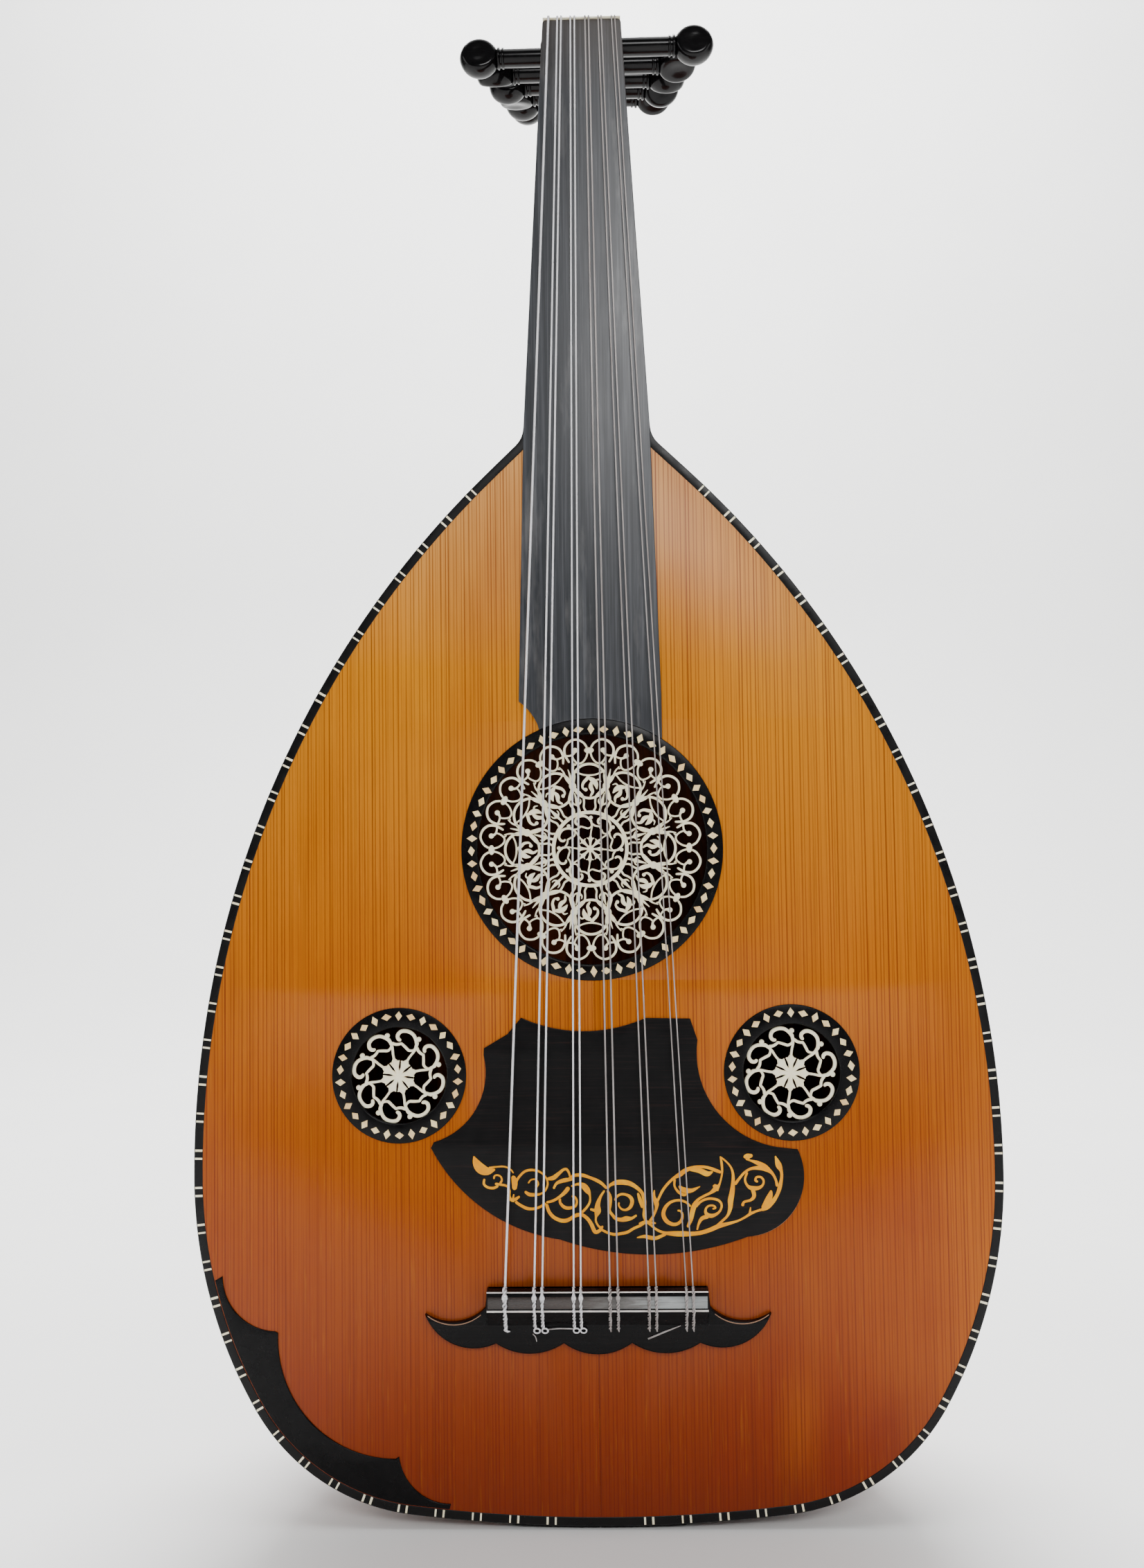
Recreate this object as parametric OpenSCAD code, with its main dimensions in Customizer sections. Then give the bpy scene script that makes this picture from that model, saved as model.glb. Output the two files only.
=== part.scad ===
// Eleven-string oud: bowl back of bent ribs, flat soundboard, short neck, bent-back pegbox.
// Upright pose: Z runs from the tail to the nut, the soundboard faces -Y, the bowl lies at +Y.
// The origin is the tail end of the centre line, on the plane where soundboard and bowl meet.

/* [Body outline, arcs from the tail to the neck] */
// Radius of the flat arc across the tail
tail_r = 712; // [600:1:900]
// Radius of the hip arc
hip_r = 95; // [90:1:100]
// Radius of the widest stretch of the side
side_r = 211; // [205:1:217]
// Radius of the long shoulder arc
shoulder_r = 445; // [435:1:455]
// Radius of the small fillet into the neck
neck_fillet_r = 12; // [10:1:14]

/* [Bowl] */
// Number of ribs in the bowl
rib_count = 15; // [15]
// Thickness of a rib
rib_t = 2.8; // [2:0.1:4]
// Thickness of the end clasp over the rib ends at the tail
clasp_t = 1.2; // [0.8:0.1:2]

/* [Soundboard] */
// Thickness of the soundboard
board_t = 1.8; // [1.5:0.1:2.5]
// Width of the black edge binding
binding_w = 4.2; // [3:0.1:6]
// Distance from one pair of binding ticks to the next
tick_pitch = 17; // [14:0.5:22]
// Height of the braces under the soundboard
brace_h = 13; // [8:1:16]

/* [Rosettes] */
// Height of the main rosette's centre above the tail
main_z = 305.2; // [300:0.1:312]
// Outer radius of the main rosette
main_r = 60.4; // [57:0.1:62]
// Radius of the main rosette's opening
main_hole_r = 53; // [50:0.1:54]
// Height of the small rosettes' centres above the tail
small_z = 202.3; // [200:0.1:206]
// Distance of the small rosettes' centres from the centre line
small_x = 89.9; // [89:0.1:92]
// Outer radius of the small rosettes
small_r = 30.9; // [29:0.1:31]
// Radius of the small rosettes' openings
small_hole_r = 21.9; // [20:0.1:23]

/* [Neck and fingerboard] */
// Height of the top end of the neck above the tail
nut_z = 698.5; // [690:0.5:705]
// Half width of the neck at the nut
nut_half_w = 18.7; // [18:0.1:20]
// Thickness of the fingerboard on the neck
finger_t = 2.8; // [2.5:0.1:4]
// Half width of the fingerboard where it ends on the soundboard
finger_end_half_w = 33.1; // [31:0.1:35]

/* [Pegbox] */
// Rise of the pegbox above the horizontal where it leaves the neck, in degrees
box_rise = 7.5; // [5:0.5:10]
// Radius of the pegbox's upward curve
box_r = 518; // [480:1:560]
// Length of the pegbox along its curve
box_len = 162; // [158:1:170]
// Outer half width of the pegbox at the neck
box_half_w = 18.2; // [17.5:0.1:19]
// Narrowing of each cheek for each millimetre of length
box_taper = 0.05; // [0.03:0.005:0.06]
// Thickness of a cheek
cheek_t = 4.5; // [4:0.1:5]

/* [Pegs] */
// Distance of the first left peg from the neck end of the pegbox
peg_left_first = 19.5; // [19:0.1:20]
// Distance of the first right peg from the neck end of the pegbox
peg_right_first = 9; // [8.8:0.1:9.2]
// Distance from one peg to the next on the same side
peg_pitch = 24; // [23.8:0.1:24.2]
// Radius of a peg's shaft on its head side
peg_r = 4.5; // [4.2:0.1:4.8]
// Radius of a peg's shaft on its tip side
peg_tip_r = 3.6; // [3.2:0.1:4]
// Running clearance between a peg and its bores
peg_clearance = 0.05; // [0.02:0.01:0.1]

/* [Bridge] */
// Height of the bridge's front edge above the tail
bridge_z = 106.6; // [104:0.1:110]
// Half width of the tie block
tie_half_w = 50; // [48:0.5:52]
// Height of the tie block above the soundboard
tie_h = 8.6; // [8:0.1:10]

/* [Hidden] */
$fn = 96;

// Colours
honey = [0.80, 0.52, 0.12];
rosewood = [0.33, 0.16, 0.08];
spruce = [0.86, 0.74, 0.52];
ebony = [0.07, 0.07, 0.08];
charcoal = [0.22, 0.22, 0.24];
ivory = [0.93, 0.88, 0.74];
dark_wood = [0.16, 0.11, 0.10];
vine_yellow = [0.85, 0.66, 0.08];
silver = [0.82, 0.82, 0.84];
clear_nylon = [0.72, 0.66, 0.60];

// Outline arcs as [radius, sweep, steps]; a negative radius bends outward
neck_flare = [-neck_fillet_r, -43.6, 3];
outline_legs = [[tail_r, 6.43, 5], [hip_r, 53.23, 9], [side_r, 29.26, 5],
    [shoulder_r, 46.51, 9], [2000, 0.63, 1], neck_flare];
tail_heading = 0.5; // the ribs end just short of the centre line at the tail
board_front = -board_t;
finger_front = -finger_t;
binding_front = -board_t - 0.2;
rose_front = -board_t - 0.4;
tracery_front = -1.2;
trim_t = 0.15;
far = 400;

// ---------- plane geometry ----------

// Points of a chain of arcs, starting at p with a heading in degrees
function chain(legs, p, heading, i = 0) = i == len(legs) ? [p] :
    let (r = legs[i][0], sweep = legs[i][1], n = legs[i][2],
        c = p + r * [-sin(heading), cos(heading)])
    concat([for (k = [0 : n - 1]) c + r * [sin(heading + sweep * k / n), -cos(heading + sweep * k / n)]],
        chain(legs, c + r * [sin(heading + sweep), -cos(heading + sweep)], heading + sweep, i + 1));

// Point and heading at distance s along a chain of arcs
function along(legs, s, p, heading, i = 0) =
    let (r = legs[i][0], sweep = legs[i][1], leg_len = r * sweep * PI / 180,
        c = p + r * [-sin(heading), cos(heading)],
        part = min(s / leg_len, 1), a = heading + sweep * part,
        q = c + r * [sin(a), -cos(a)])
    s <= leg_len || i == len(legs) - 1 ? [q, a] : along(legs, s - leg_len, q, a, i + 1);

// Length of a chain of arcs
function chain_len(legs, i = 0) = i == len(legs) ? 0 :
    legs[i][0] * legs[i][1] * PI / 180 + chain_len(legs, i + 1);

// The same arcs, moved inward by a distance
function inset_legs(inset) = [for (leg = outline_legs) [leg[0] - inset, leg[1], leg[2]]];
function tail_point(inset) = [(tail_r - inset) * sin(tail_heading),
    tail_r - (tail_r - inset) * cos(tail_heading)];

// Right half of the body outline, from the tail to the neck joint
function half_outline(inset) = chain(inset_legs(inset), tail_point(inset), tail_heading);

// Arc from p to q that bulges to the right of the way by h, without its last point
function bow(p, q, h, n) =
    let (chord = norm(q - p), along_chord = (q - p) / chord,
        outward = [along_chord[1], -along_chord[0]],
        half = 2 * atan(2 * h / chord), r = chord / (2 * sin(half)))
    [for (k = [0 : n - 1]) let (a = -half + 2 * half * k / n)
        (p + q) / 2 + outward * r * (cos(a) - cos(half)) + along_chord * r * sin(a)];

joint_z = half_outline(0)[len(half_outline(0)) - 1][1];
joint_half_w = half_outline(0)[len(half_outline(0)) - 1][0];

module full_outline(inset) {
    pts = half_outline(inset);
    n = len(pts);
    polygon(concat(pts, [for (k = [n - 1 : -1 : 0]) [-pts[k][0], pts[k][1]]]));
}

// A flat piece drawn in X and Z, standing from y = back forward to y = front
module plate(front, back) {
    translate([0, back, 0]) rotate([90, 0, 0]) linear_extrude(back - front) children();
}

// A round hole or disc along Y
module disc(x, z, r, front, back) {
    translate([x, back, z]) rotate([90, 0, 0]) cylinder(r = r, h = back - front);
}

module ring(x, z, r_out, r_in, front, back) {
    difference() {
        disc(x, z, r_out, front, back);
        disc(x, z, r_in, front - 1, back + 1);
    }
}

// ---------- bowl ----------

module rib(i) {
    outer = half_outline(0);
    inner = half_outline(rib_t);
    n = len(inner);
    color(rosewood) rotate([0, 0, (i - 1) * 180 / rib_count])
        rotate_extrude(angle = 180 / rib_count)
            polygon(concat(outer, [for (k = [n - 1 : -1 : 0]) inner[k]]));
}

// The space inside the bowl, a little smaller by a glue gap
module bowl_space() {
    pts = half_outline(rib_t + 0.1);
    last = pts[len(pts) - 1];
    rotate_extrude(angle = 180)
        polygon(concat([[0, pts[0][1]]], pts, [[0, last[1]]]));
}

module neck_block() {
    color(spruce) intersection() {
        bowl_space();
        translate([-far, 0, 474]) cube([2 * far, far, joint_z - 474]);
    }
}

module tail_block() {
    color(spruce) intersection() {
        bowl_space();
        translate([-80, 0, 0]) cube([160, 70, 20]);
    }
}

module end_clasp() {
    cover = 3.7;
    outer = chain([[tail_r + clasp_t, cover, 4]], [0, -clasp_t], 0);
    inner = chain([[tail_r, cover, 4]], [0, 0], 0);
    color(ebony) rotate_extrude(angle = 180)
        polygon(concat(outer, [for (k = [4 : -1 : 0]) inner[k]]));
}

// ---------- soundboard ----------

module board_holes() {
    disc(0, main_z, main_r, -5, 5);
    for (side = [-1, 1]) disc(side * small_x, small_z, small_r, -5, 5);
}

module soundboard(side) {
    pts = half_outline(binding_w);
    last = pts[len(pts) - 1];
    color(honey) difference() {
        plate(board_front, 0) scale([side, 1])
            polygon(concat([[0, pts[0][1]]], pts, [[0, last[1]]]));
        board_holes();
    }
}

// Cross braces, placed clear of the rosettes
module soundboard_braces() {
    brace_w = 5;
    color(spruce) for (z = [42, 128, 236.5, 372, 414, 452])
        intersection() {
            plate(0, brace_h) full_outline(9);
            translate([-far, 0, z]) cube([2 * far, brace_h, brace_w]);
        }
}

module binding_band() {
    difference() {
        full_outline(0);
        full_outline(binding_w);
    }
}

module edge_binding() {
    color(ebony) plate(binding_front, 0) binding_band();
}

// Pairs of light ticks across the binding
module binding_ticks() {
    tick_w = 0.9;
    pair_gap = 3.7;
    first = 14;
    run = chain_len(outline_legs) - 38;
    color(ivory) for (side = [-1, 1])
        for (s = [first : tick_pitch : run])
            for (twin = [0, pair_gap]) {
                spot = along(outline_legs, s + twin, tail_point(0), tail_heading);
                scale([side, 1, 1]) translate([spot[0][0], binding_front, spot[0][1]])
                    rotate([0, -spot[1], 0])
                        translate([-tick_w / 2, -trim_t, 0.3])
                            cube([tick_w, trim_t, binding_w - 0.6]);
            }
}

// Plain plate at the lower left edge, with a scalloped inner edge
module corner_guard() {
    top = [-146.5, 112];
    cusp_1 = [-145.8, 86.4];
    middle = [-92.5, 83.5];
    low = [-67.5, 33.5];
    color(ebony) difference() {
        intersection() {
            plate(board_front - 0.6, board_front) full_outline(binding_w);
            translate([-far, -5, -1]) cube([far + low[0], 5, top[1] + 1]);
        }
        disc(top[0], top[1], 25, -5, 0);
        disc(middle[0], middle[1], 53.5, -5, 0);
        disc(low[0], low[1], 23.5, -5, 0);
        plate(-5, 0) polygon([top + [0, 5], top - [0, 24], cusp_1, middle - [40, 0], middle - [0, 45],
            low - [12, 0], low + [5, 0], low + [5, 90]]);
    }
}

// ---------- rosettes ----------

module rose_ring(x, z, r_out, r_in) {
    color(ebony) ring(x, z, r_out, r_in, rose_front, 0);
}

// A row of diamonds, turned by quarter turns one after the other
module diamonds(x, z, r, count, length, width) {
    color(ivory) for (k = [0 : count - 1])
        translate([x, 0, z]) rotate([0, k * 360 / count, 0]) translate([0, 0, r])
            rotate([0, (k % 2) * 90, 0])
                plate(rose_front - trim_t, rose_front)
                    polygon([[0, -length / 2], [width / 2, 0], [0, length / 2], [-width / 2, 0]]);
}

// Straight bar of the tracery, along a radius
module spoke(a, r_from, r_to, w, back) {
    rotate([0, a, 0]) translate([-w / 2, tracery_front, r_from])
        cube([w, back - tracery_front, r_to - r_from]);
}

// The wheel with eight arrow spokes, used in all three rosettes
module wheel(r_out, line_w, back) {
    disc(0, 0, r_out * 0.2, tracery_front, back);
    for (k = [0 : 7]) {
        spoke(k * 45, 0, r_out, line_w, back);
        rotate([0, k * 45, 0]) plate(tracery_front, back)
            polygon([[0, r_out * 0.3], [r_out * 0.13, r_out * 0.42],
                [0, r_out * 0.62], [-r_out * 0.13, r_out * 0.42]]);
    }
}

module main_rose_tracery() {
    back = 0;
    medallion_r = 8.2;
    medallion_at = 31.9;
    inner_r = 17.2;
    line_w = 1.5;
    color(ivory) translate([0, 0, main_z]) {
        ring(0, 0, main_hole_r, main_hole_r - 1.4, tracery_front, back);
        ring(0, 0, inner_r + line_w / 2, inner_r - line_w / 2, tracery_front, back);
        wheel(inner_r - 0.3, line_w, back);
        for (k = [0 : 11]) rotate([0, k * 30, 0]) {
            ring(0, medallion_at, medallion_r, medallion_r - line_w, tracery_front, back);
            spoke(0, inner_r, medallion_at - medallion_r + 0.4, line_w, back);
            disc(0, medallion_at, 3, tracery_front, back);
            spoke(0, medallion_at, medallion_at + medallion_r - 0.4, line_w, back);
            for (turn = [-7.5, 7.5]) rotate([0, turn, 0])
                ring(0, 46.6, 5.6, 5.6 - line_w, tracery_front, back);
            spoke(15, inner_r, 43, line_w, back);
        }
    }
}

module small_rose_tracery(side) {
    back = 0;
    line_w = 1.5;
    scroll_r = 4.9;
    color(ivory) translate([side * small_x, 0, small_z]) {
        ring(0, 0, small_hole_r, small_hole_r - 0.9, tracery_front, back);
        wheel(13, line_w, back);
        for (k = [0 : 7])
            rotate([0, k * 45, 0])
                ring(0, 16.7, scroll_r, scroll_r - line_w, tracery_front, back);
    }
}

// ---------- fingerboard, neck and nut ----------

module neck() {
    seat = pegbox_centre();
    color(charcoal) difference() {
        intersection() {
            translate([0, 0, joint_z])
                cylinder(r1 = joint_half_w, r2 = nut_half_w, h = nut_z - joint_z);
            translate([-far, 0, 0]) cube([2 * far, far, nut_z]);
        }
        // seat of the pegbox, behind a lip that carries the nut
        intersection() {
            translate([-far, box_start[0], 0]) cube([2 * far, far, nut_z + 10]);
            translate([-far, seat[0], seat[1]]) rotate([0, 90, 0])
                cylinder(r = box_r + box_low, h = 2 * far, $fn = 720);
        }
    }
}

module fingerboard_outline() {
    cut_top = [-finger_end_half_w, 374];
    cut_foot = [-23.8, 360.9];
    polygon(concat([[finger_end_half_w, 345], [finger_end_half_w, 376],
            [joint_half_w - 0.4, joint_z], [nut_half_w - 0.1, nut_z],
            [-nut_half_w + 0.1, nut_z], [-joint_half_w + 0.4, joint_z]],
        bow(cut_top, cut_foot, -0.8, 5), [cut_foot, [cut_foot[0], 345]]));
}

module fingerboard() {
    color(charcoal) difference() {
        plate(finger_front, 0) fingerboard_outline();
        disc(0, main_z, main_r, -10, 5);
        translate([-far, board_front, 0]) cube([2 * far, 10, joint_z]);
        plate(binding_front, 0) binding_band();
    }
}

nut_front = finger_front - 1.1;
groove_gap = 0.08; // clearance of a string in its groove
nut_top = nut_z + 1.1;
string_nut_y = nut_front + 0.1;

module nut() {
    color(ivory) difference() {
        translate([-nut_half_w + 0.3, 0, 0]) rotate([90, 0, 90])
            linear_extrude(2 * nut_half_w - 0.6)
                polygon([[nut_front, nut_z], [5.6, nut_z], [5.6, nut_top - 0.6],
                    [nut_front + 0.9, nut_top], [nut_front, nut_top - 0.5]]);
        for (k = [0 : 10]) {
            string_run(k, string_r(k) + groove_gap);
            string_lead(k, string_r(k) + groove_gap);
        }
    }
}

// ---------- pegbox ----------

// The peg axes lie on an arc in the Y-Z plane; a place on it is [y, z]
box_start = [6, 692.8];
box_up = 10;
box_low = 13;
function pegbox_centre() = box_start + box_r * [-sin(box_rise), cos(box_rise)];
function box_turn(s) = box_rise + s / box_r * 180 / PI;
function box_at(s) = pegbox_centre() + box_r * [sin(box_turn(s)), -cos(box_turn(s))];
function box_normal(s) = [-sin(box_turn(s)), cos(box_turn(s))];
box_chord = box_at(box_len) - box_at(0);
box_chord_dir = box_chord / norm(box_chord);

// Side view of the pegbox between two heights above and below the peg axes
function box_band(up, up_end, low, low_end, s0, s1, n = 12) = concat(
    [for (k = [0 : n]) let (s = s0 + (s1 - s0) * k / n, t = s / box_len)
        box_at(s) - box_normal(s) * (low + (low_end - low) * t)],
    [for (k = [n : -1 : 0]) let (s = s0 + (s1 - s0) * k / n, t = s / box_len)
        box_at(s) + box_normal(s) * (up + (up_end - up) * t)]);

// Slides each point sideways in step with its distance along the pegbox
module taper(side) {
    k = -box_taper;
    scale([side, 1, 1]) multmatrix([
        [1, k * box_chord_dir[0], k * box_chord_dir[1], -k * (box_start * box_chord_dir)],
        [0, 1, 0, 0], [0, 0, 1, 0], [0, 0, 0, 1]]) children();
}

// A slice of the pegbox's side view, from x0 to x1
module box_slice(x0, x1, points) {
    translate([x0, 0, 0]) rotate([90, 0, 90]) linear_extrude(x1 - x0) polygon(points);
}

// Everything above the plane of the neck's lip is trimmed off square
module behind_lip() {
    intersection() {
        children();
        translate([-far, box_start[0], 0]) cube([2 * far, far, 2 * far]);
    }
}

// Each cheek is bored for the pegs and relieved where the outer string comes in from the nut
module pegbox_cheek(side) {
    color(charcoal) difference() {
        behind_lip() taper(side)
            box_slice(box_half_w - cheek_t, box_half_w,
                box_band(box_up, 8, box_low, 9, -3, box_len));
        for (k = [0 : 10]) peg_bores(k);
        for (k = [0, 10]) string_lead(k, string_r(k) + 2 * groove_gap);
    }
}

// Keeps what lies between the two cheeks
module between_cheeks() {
    intersection() {
        children();
        taper(1) translate([-far, -50, 600]) cube([far + box_half_w - cheek_t, far, far]);
        taper(-1) translate([-far, -50, 600]) cube([far + box_half_w - cheek_t, far, far]);
    }
}

module pegbox_back() {
    floor_t = 3.4;
    color(charcoal) behind_lip() between_cheeks()
        box_slice(-box_half_w, box_half_w,
            box_band(-box_low + floor_t, -9 + floor_t, box_low, 9, -3, box_len - 7));
}

module pegbox_end() {
    color(charcoal) between_cheeks()
        box_slice(-box_half_w, box_half_w,
            box_band(box_up, 8, box_low, 9, box_len - 6.9, box_len));
}

// ---------- pegs ----------

// Pegs alternate left, right from the neck; the collar stands this far out from the cheek
collar_reach = [21.5, 24, 16.5, 18, 13, 15, 11, 14, 10, 12, 10];
head_turn = [8, -6, 55, 70, 24, -38, 80, 35, 10, 62, -20];
function peg_s(k) = (k % 2 == 0 ? peg_left_first : peg_right_first) + peg_pitch * floor(k / 2);
function peg_side(k) = k % 2 == 0 ? -1 : 1;
function cheek_x(s) = box_half_w - box_taper * s;
winding_r = peg_r + 0.9;
knob_end = 22; // length of collar and knob
knob_half_t = 5.2; // half the distance between the knob's two flats

module peg_cylinder(k, r, x0, x1) {
    p = box_at(peg_s(k));
    side = peg_side(k);
    translate([side > 0 ? x0 : -x1, p[0], p[1]]) rotate([0, 90, 0]) cylinder(r = r, h = x1 - x0);
}

module peg_bores(k) {
    peg_cylinder(k, peg_r + peg_clearance, 0, 30);
    peg_cylinder(k, peg_tip_r + peg_clearance, -30, 1);
}

// Outline of a peg as [radius, distance from the centre plane]: tip, shaft, double collar, knob
function peg_profile(cheek, collar) = concat(
    [[0, -cheek - 2.5], [peg_tip_r, -cheek - 2.5], [peg_tip_r, 0], [peg_r, 0],
     [peg_r, collar], [peg_r + 0.6, collar], [peg_r + 0.6, collar + 1.2], [peg_r, collar + 1.2],
     [peg_r, collar + 1.9], [peg_r + 0.9, collar + 1.9], [peg_r + 0.9, collar + 3.4]],
    bow([3.8, collar + 3.4], [0, collar + knob_end], 7.3, 14), [[0, collar + knob_end]]);

module peg(k) {
    cheek = cheek_x(peg_s(k));
    collar = cheek + collar_reach[k];
    p = box_at(peg_s(k));
    color(ebony) translate([0, p[0], p[1]]) rotate([0, peg_side(k) * 90, 0]) difference() {
        rotate_extrude() polygon(peg_profile(cheek, collar));
        for (face = [0, 180]) rotate([0, 0, head_turn[k] + face])
            translate([-10, knob_half_t, collar + 3.5]) cube([20, 10, knob_end]);
    }
}

// ---------- bridge ----------

string_bridge_y = -8.3;
scallop_z = 82; // lowest line of the cusps along the back edge
bridge_t = 3.4;
cap_t = 0.5;
tie_top = board_front - tie_h;
tie_depth = 17; // from the front face to the foot of the sloping back
slope_start = 9; // from the front face to the top of the slope

// Outline of the base: straight front, wing tips, five scallops behind
function bridge_outline() =
    let (tie_back = [51, bridge_z - 8.8], tip = [78.4, 95], cusp = [46.2, scallop_z])
    concat([[tie_half_w, bridge_z], [-tie_half_w, bridge_z]],
        bow([-tie_back[0], tie_back[1]], [-tip[0], tip[1]], -5, 6),
        bow([-tip[0], tip[1]], [-cusp[0], cusp[1]], 7.5, 8),
        bow([-cusp[0], cusp[1]], [-15.4, scallop_z], 4.6, 6),
        bow([-15.4, scallop_z], [15.4, scallop_z], 5, 6),
        bow([15.4, scallop_z], [cusp[0], cusp[1]], 4.6, 6),
        bow(cusp, tip, 7.5, 8),
        bow(tip, tie_back, -5, 6), [tie_back]);

module bridge() {
    color(ebony) {
        plate(board_front - bridge_t, board_front) polygon(bridge_outline());
        // tie block with a sloping back
        translate([-tie_half_w, 0, 0]) rotate([90, 0, 90]) linear_extrude(2 * tie_half_w)
            polygon([[board_front, bridge_z], [board_front, bridge_z - tie_depth],
                [board_front - bridge_t - 0.2, bridge_z - tie_depth + 1],
                [tie_top, bridge_z - slope_start], [tie_top, bridge_z]]);
    }
}

// Thin light strips along the front and back edges of the tie block's top
module bridge_caps() {
    strip_w = 0.9;
    color(ivory) for (z = [bridge_z - strip_w, bridge_z - slope_start])
        translate([-tie_half_w, tie_top - cap_t, z]) cube([2 * tie_half_w, cap_t, strip_w]);
}

// ---------- pickguard ----------

function pickguard_outline() = concat(
    [[44, 227.1]],
    bow([23.6, 227.6], [-33.5, 228.2], -6.1, 8),
    [[-33.5, 228.2], [-40, 220.7], [-50.8, 214.4]],
    bow([-50.9, 211.3], [-74.1, 171.9], -9.2, 8),
    [[-74.1, 171.9]],
    bow([-75.4, 169.4], [-16.9, 127.8], 8.7, 10),
    bow([-16.9, 127.8], [68.6, 128.6], 7.4, 10),
    bow([68.6, 128.6], [91.9, 167.6], 12.2, 10),
    [[91.9, 167.6]],
    bow([83, 168.6], [47.2, 217.4], -12.5, 10),
    [[47.2, 217.4]]);
guard_front = board_front - 0.8;

module pickguard() {
    color(dark_wood) plate(guard_front, board_front) polygon(pickguard_outline());
}

// Curved strip of the vine, bowing from p to q by h
module stem(p, q, h, w) {
    outer = bow(p, q, h, 8);
    inner = bow(q, p, -h, 8);
    chord = (q - p) / norm(q - p);
    shift = [chord[1], -chord[0]] * w / 2;
    plate(guard_front - trim_t, guard_front)
        polygon(concat([for (v = outer) v + shift], [for (v = inner) v - shift]));
}

module vine_ring(x, z, r) {
    ring(x, z, r, r - 1.3, guard_front - trim_t, guard_front);
}

module pickguard_inlay() {
    color(vine_yellow) {
        stem([-56, 165], [-48, 155], 2.5, 2.2);
        vine_ring(-45, 154, 4.2);
        vine_ring(-29, 149, 7.4);
        vine_ring(-12, 145.6, 7.8);
        vine_ring(10.5, 143.2, 9.2);
        stem([-1, 136.5], [22, 134.5], 3, 1.6);
        stem([26, 135], [59, 163.5], -11, 1.8);
        vine_ring(36.5, 139.6, 5.6);
        vine_ring(52.5, 142, 5);
        stem([57.5, 164], [60.5, 140], -5, 2.2);
        stem([28, 131], [71, 137], 3, 1.8);
        stem([71, 137], [82.5, 164], 8.5, 2);
        vine_ring(72.5, 154.5, 4.4);
    }
}

// ---------- strings ----------

// Places across the nut and the bridge, thickest single string first
nut_x = [-15.6, -11.4, -9.6, -5.2, -3.3, 1.7, 3.4, 7.9, 9.4, 14.2, 15.8];
bridge_x = [-41.6, -28.4, -24.8, -10.6, -7.4, 5.7, 9.3, 23.2, 26.5, 40.0, 43.1];
string_d = [1.2, 1.0, 1.0, 0.9, 0.9, 0.8, 0.8, 0.7, 0.7, 0.6, 0.6];
// Each string's peg, and the place of its winding along that peg
string_peg = [0, 2, 4, 6, 8, 10, 9, 7, 5, 3, 1];
winding_x = [-10, -8, -6.4, -4.6, -2.8, -0.8, 1.8, 3.6, 5.4, 7.4, 9.6];
function string_r(k) = string_d[k] / 2;

module rod(p, q, r) {
    d = q - p;
    translate(p) rotate([0, acos(d[2] / norm(d)), atan2(d[1], d[0])])
        cylinder(r = r, h = norm(d), $fn = 16);
}

function nut_point(k) = [nut_x[k], string_nut_y, nut_top - 0.6 + string_r(k)];
function tie_point(k) = [bridge_x[k], string_bridge_y, bridge_z + 0.1 + twist_r(k)];
// The tail is twisted back on itself, so it is thicker than the string
function twist_r(k) = string_r(k) + 0.35;

// Sounding length, with the bend over the nut
module string_run(k, r) {
    rod(tie_point(k), nut_point(k), r);
    sphere_at(nut_point(k), r * 1.15);
}

module sphere_at(p, r) {
    translate(p) sphere(r = r, $fn = 24);
}

// From the nut over to the top of the winding on its peg
module string_lead(k, r) {
    j = string_peg[k];
    p = box_at(peg_s(j));
    top = p + box_normal(peg_s(j)) * (winding_r + string_r(k) + 0.3);
    rod(nut_point(k), [winding_x[k], top[0], top[1]], r);
}

// Tied tail: up the front of the tie block, over its top and down its sloping back
module string_tail(k) {
    r = twist_r(k);
    front = bridge_z + 0.1;
    low = string_bridge_y + r;
    over = tie_top - cap_t - 0.05;
    back = bridge_z - slope_start - 0.2;
    foot = [board_front - bridge_t - 0.1, bridge_z - tie_depth - 1];
    box_slice(bridge_x[k] - r, bridge_x[k] + r, [[low, front], [over, front], [over, back], foot,
        foot - [2 * r, 0], [over - 2 * r, back], [over - 2 * r, front + 2 * r], [low, front + 2 * r]]);
}

module string(k) {
    color(k < 5 ? silver : clear_nylon) {
        string_run(k, string_r(k));
        string_lead(k, string_r(k));
        string_tail(k);
    }
}

module string_course(first, last) {
    for (k = [first : last]) string(k);
}

// ---------- nodes ----------

soundboard(-1);  // soundboard_left
soundboard(1);  // soundboard_right
soundboard_braces();
rib(1);  // rib_01
rib(2);  // rib_02
rib(3);  // rib_03
rib(4);  // rib_04
rib(5);  // rib_05
rib(6);  // rib_06
rib(7);  // rib_07
rib(8);  // rib_08
rib(9);  // rib_09
rib(10);  // rib_10
rib(11);  // rib_11
rib(12);  // rib_12
rib(13);  // rib_13
rib(14);  // rib_14
rib(15);  // rib_15
neck_block();
tail_block();
end_clasp();
neck();
fingerboard();
nut();
pegbox_cheek(-1);  // pegbox_cheek_left
pegbox_cheek(1);  // pegbox_cheek_right
pegbox_back();
pegbox_end();
peg(0);  // peg_01
peg(1);  // peg_02
peg(2);  // peg_03
peg(3);  // peg_04
peg(4);  // peg_05
peg(5);  // peg_06
peg(6);  // peg_07
peg(7);  // peg_08
peg(8);  // peg_09
peg(9);  // peg_10
peg(10);  // peg_11
bridge();
bridge_caps();
pickguard();
pickguard_inlay();
edge_binding();
binding_ticks();
corner_guard();
rose_ring(0, main_z, main_r, main_hole_r);  // main_rose_ring
diamonds(0, main_z, 56.2, 60, 4.6, 3);  // main_rose_diamonds
main_rose_tracery();
rose_ring(-small_x, small_z, small_r, small_hole_r);  // small_rose_ring_left
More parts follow.
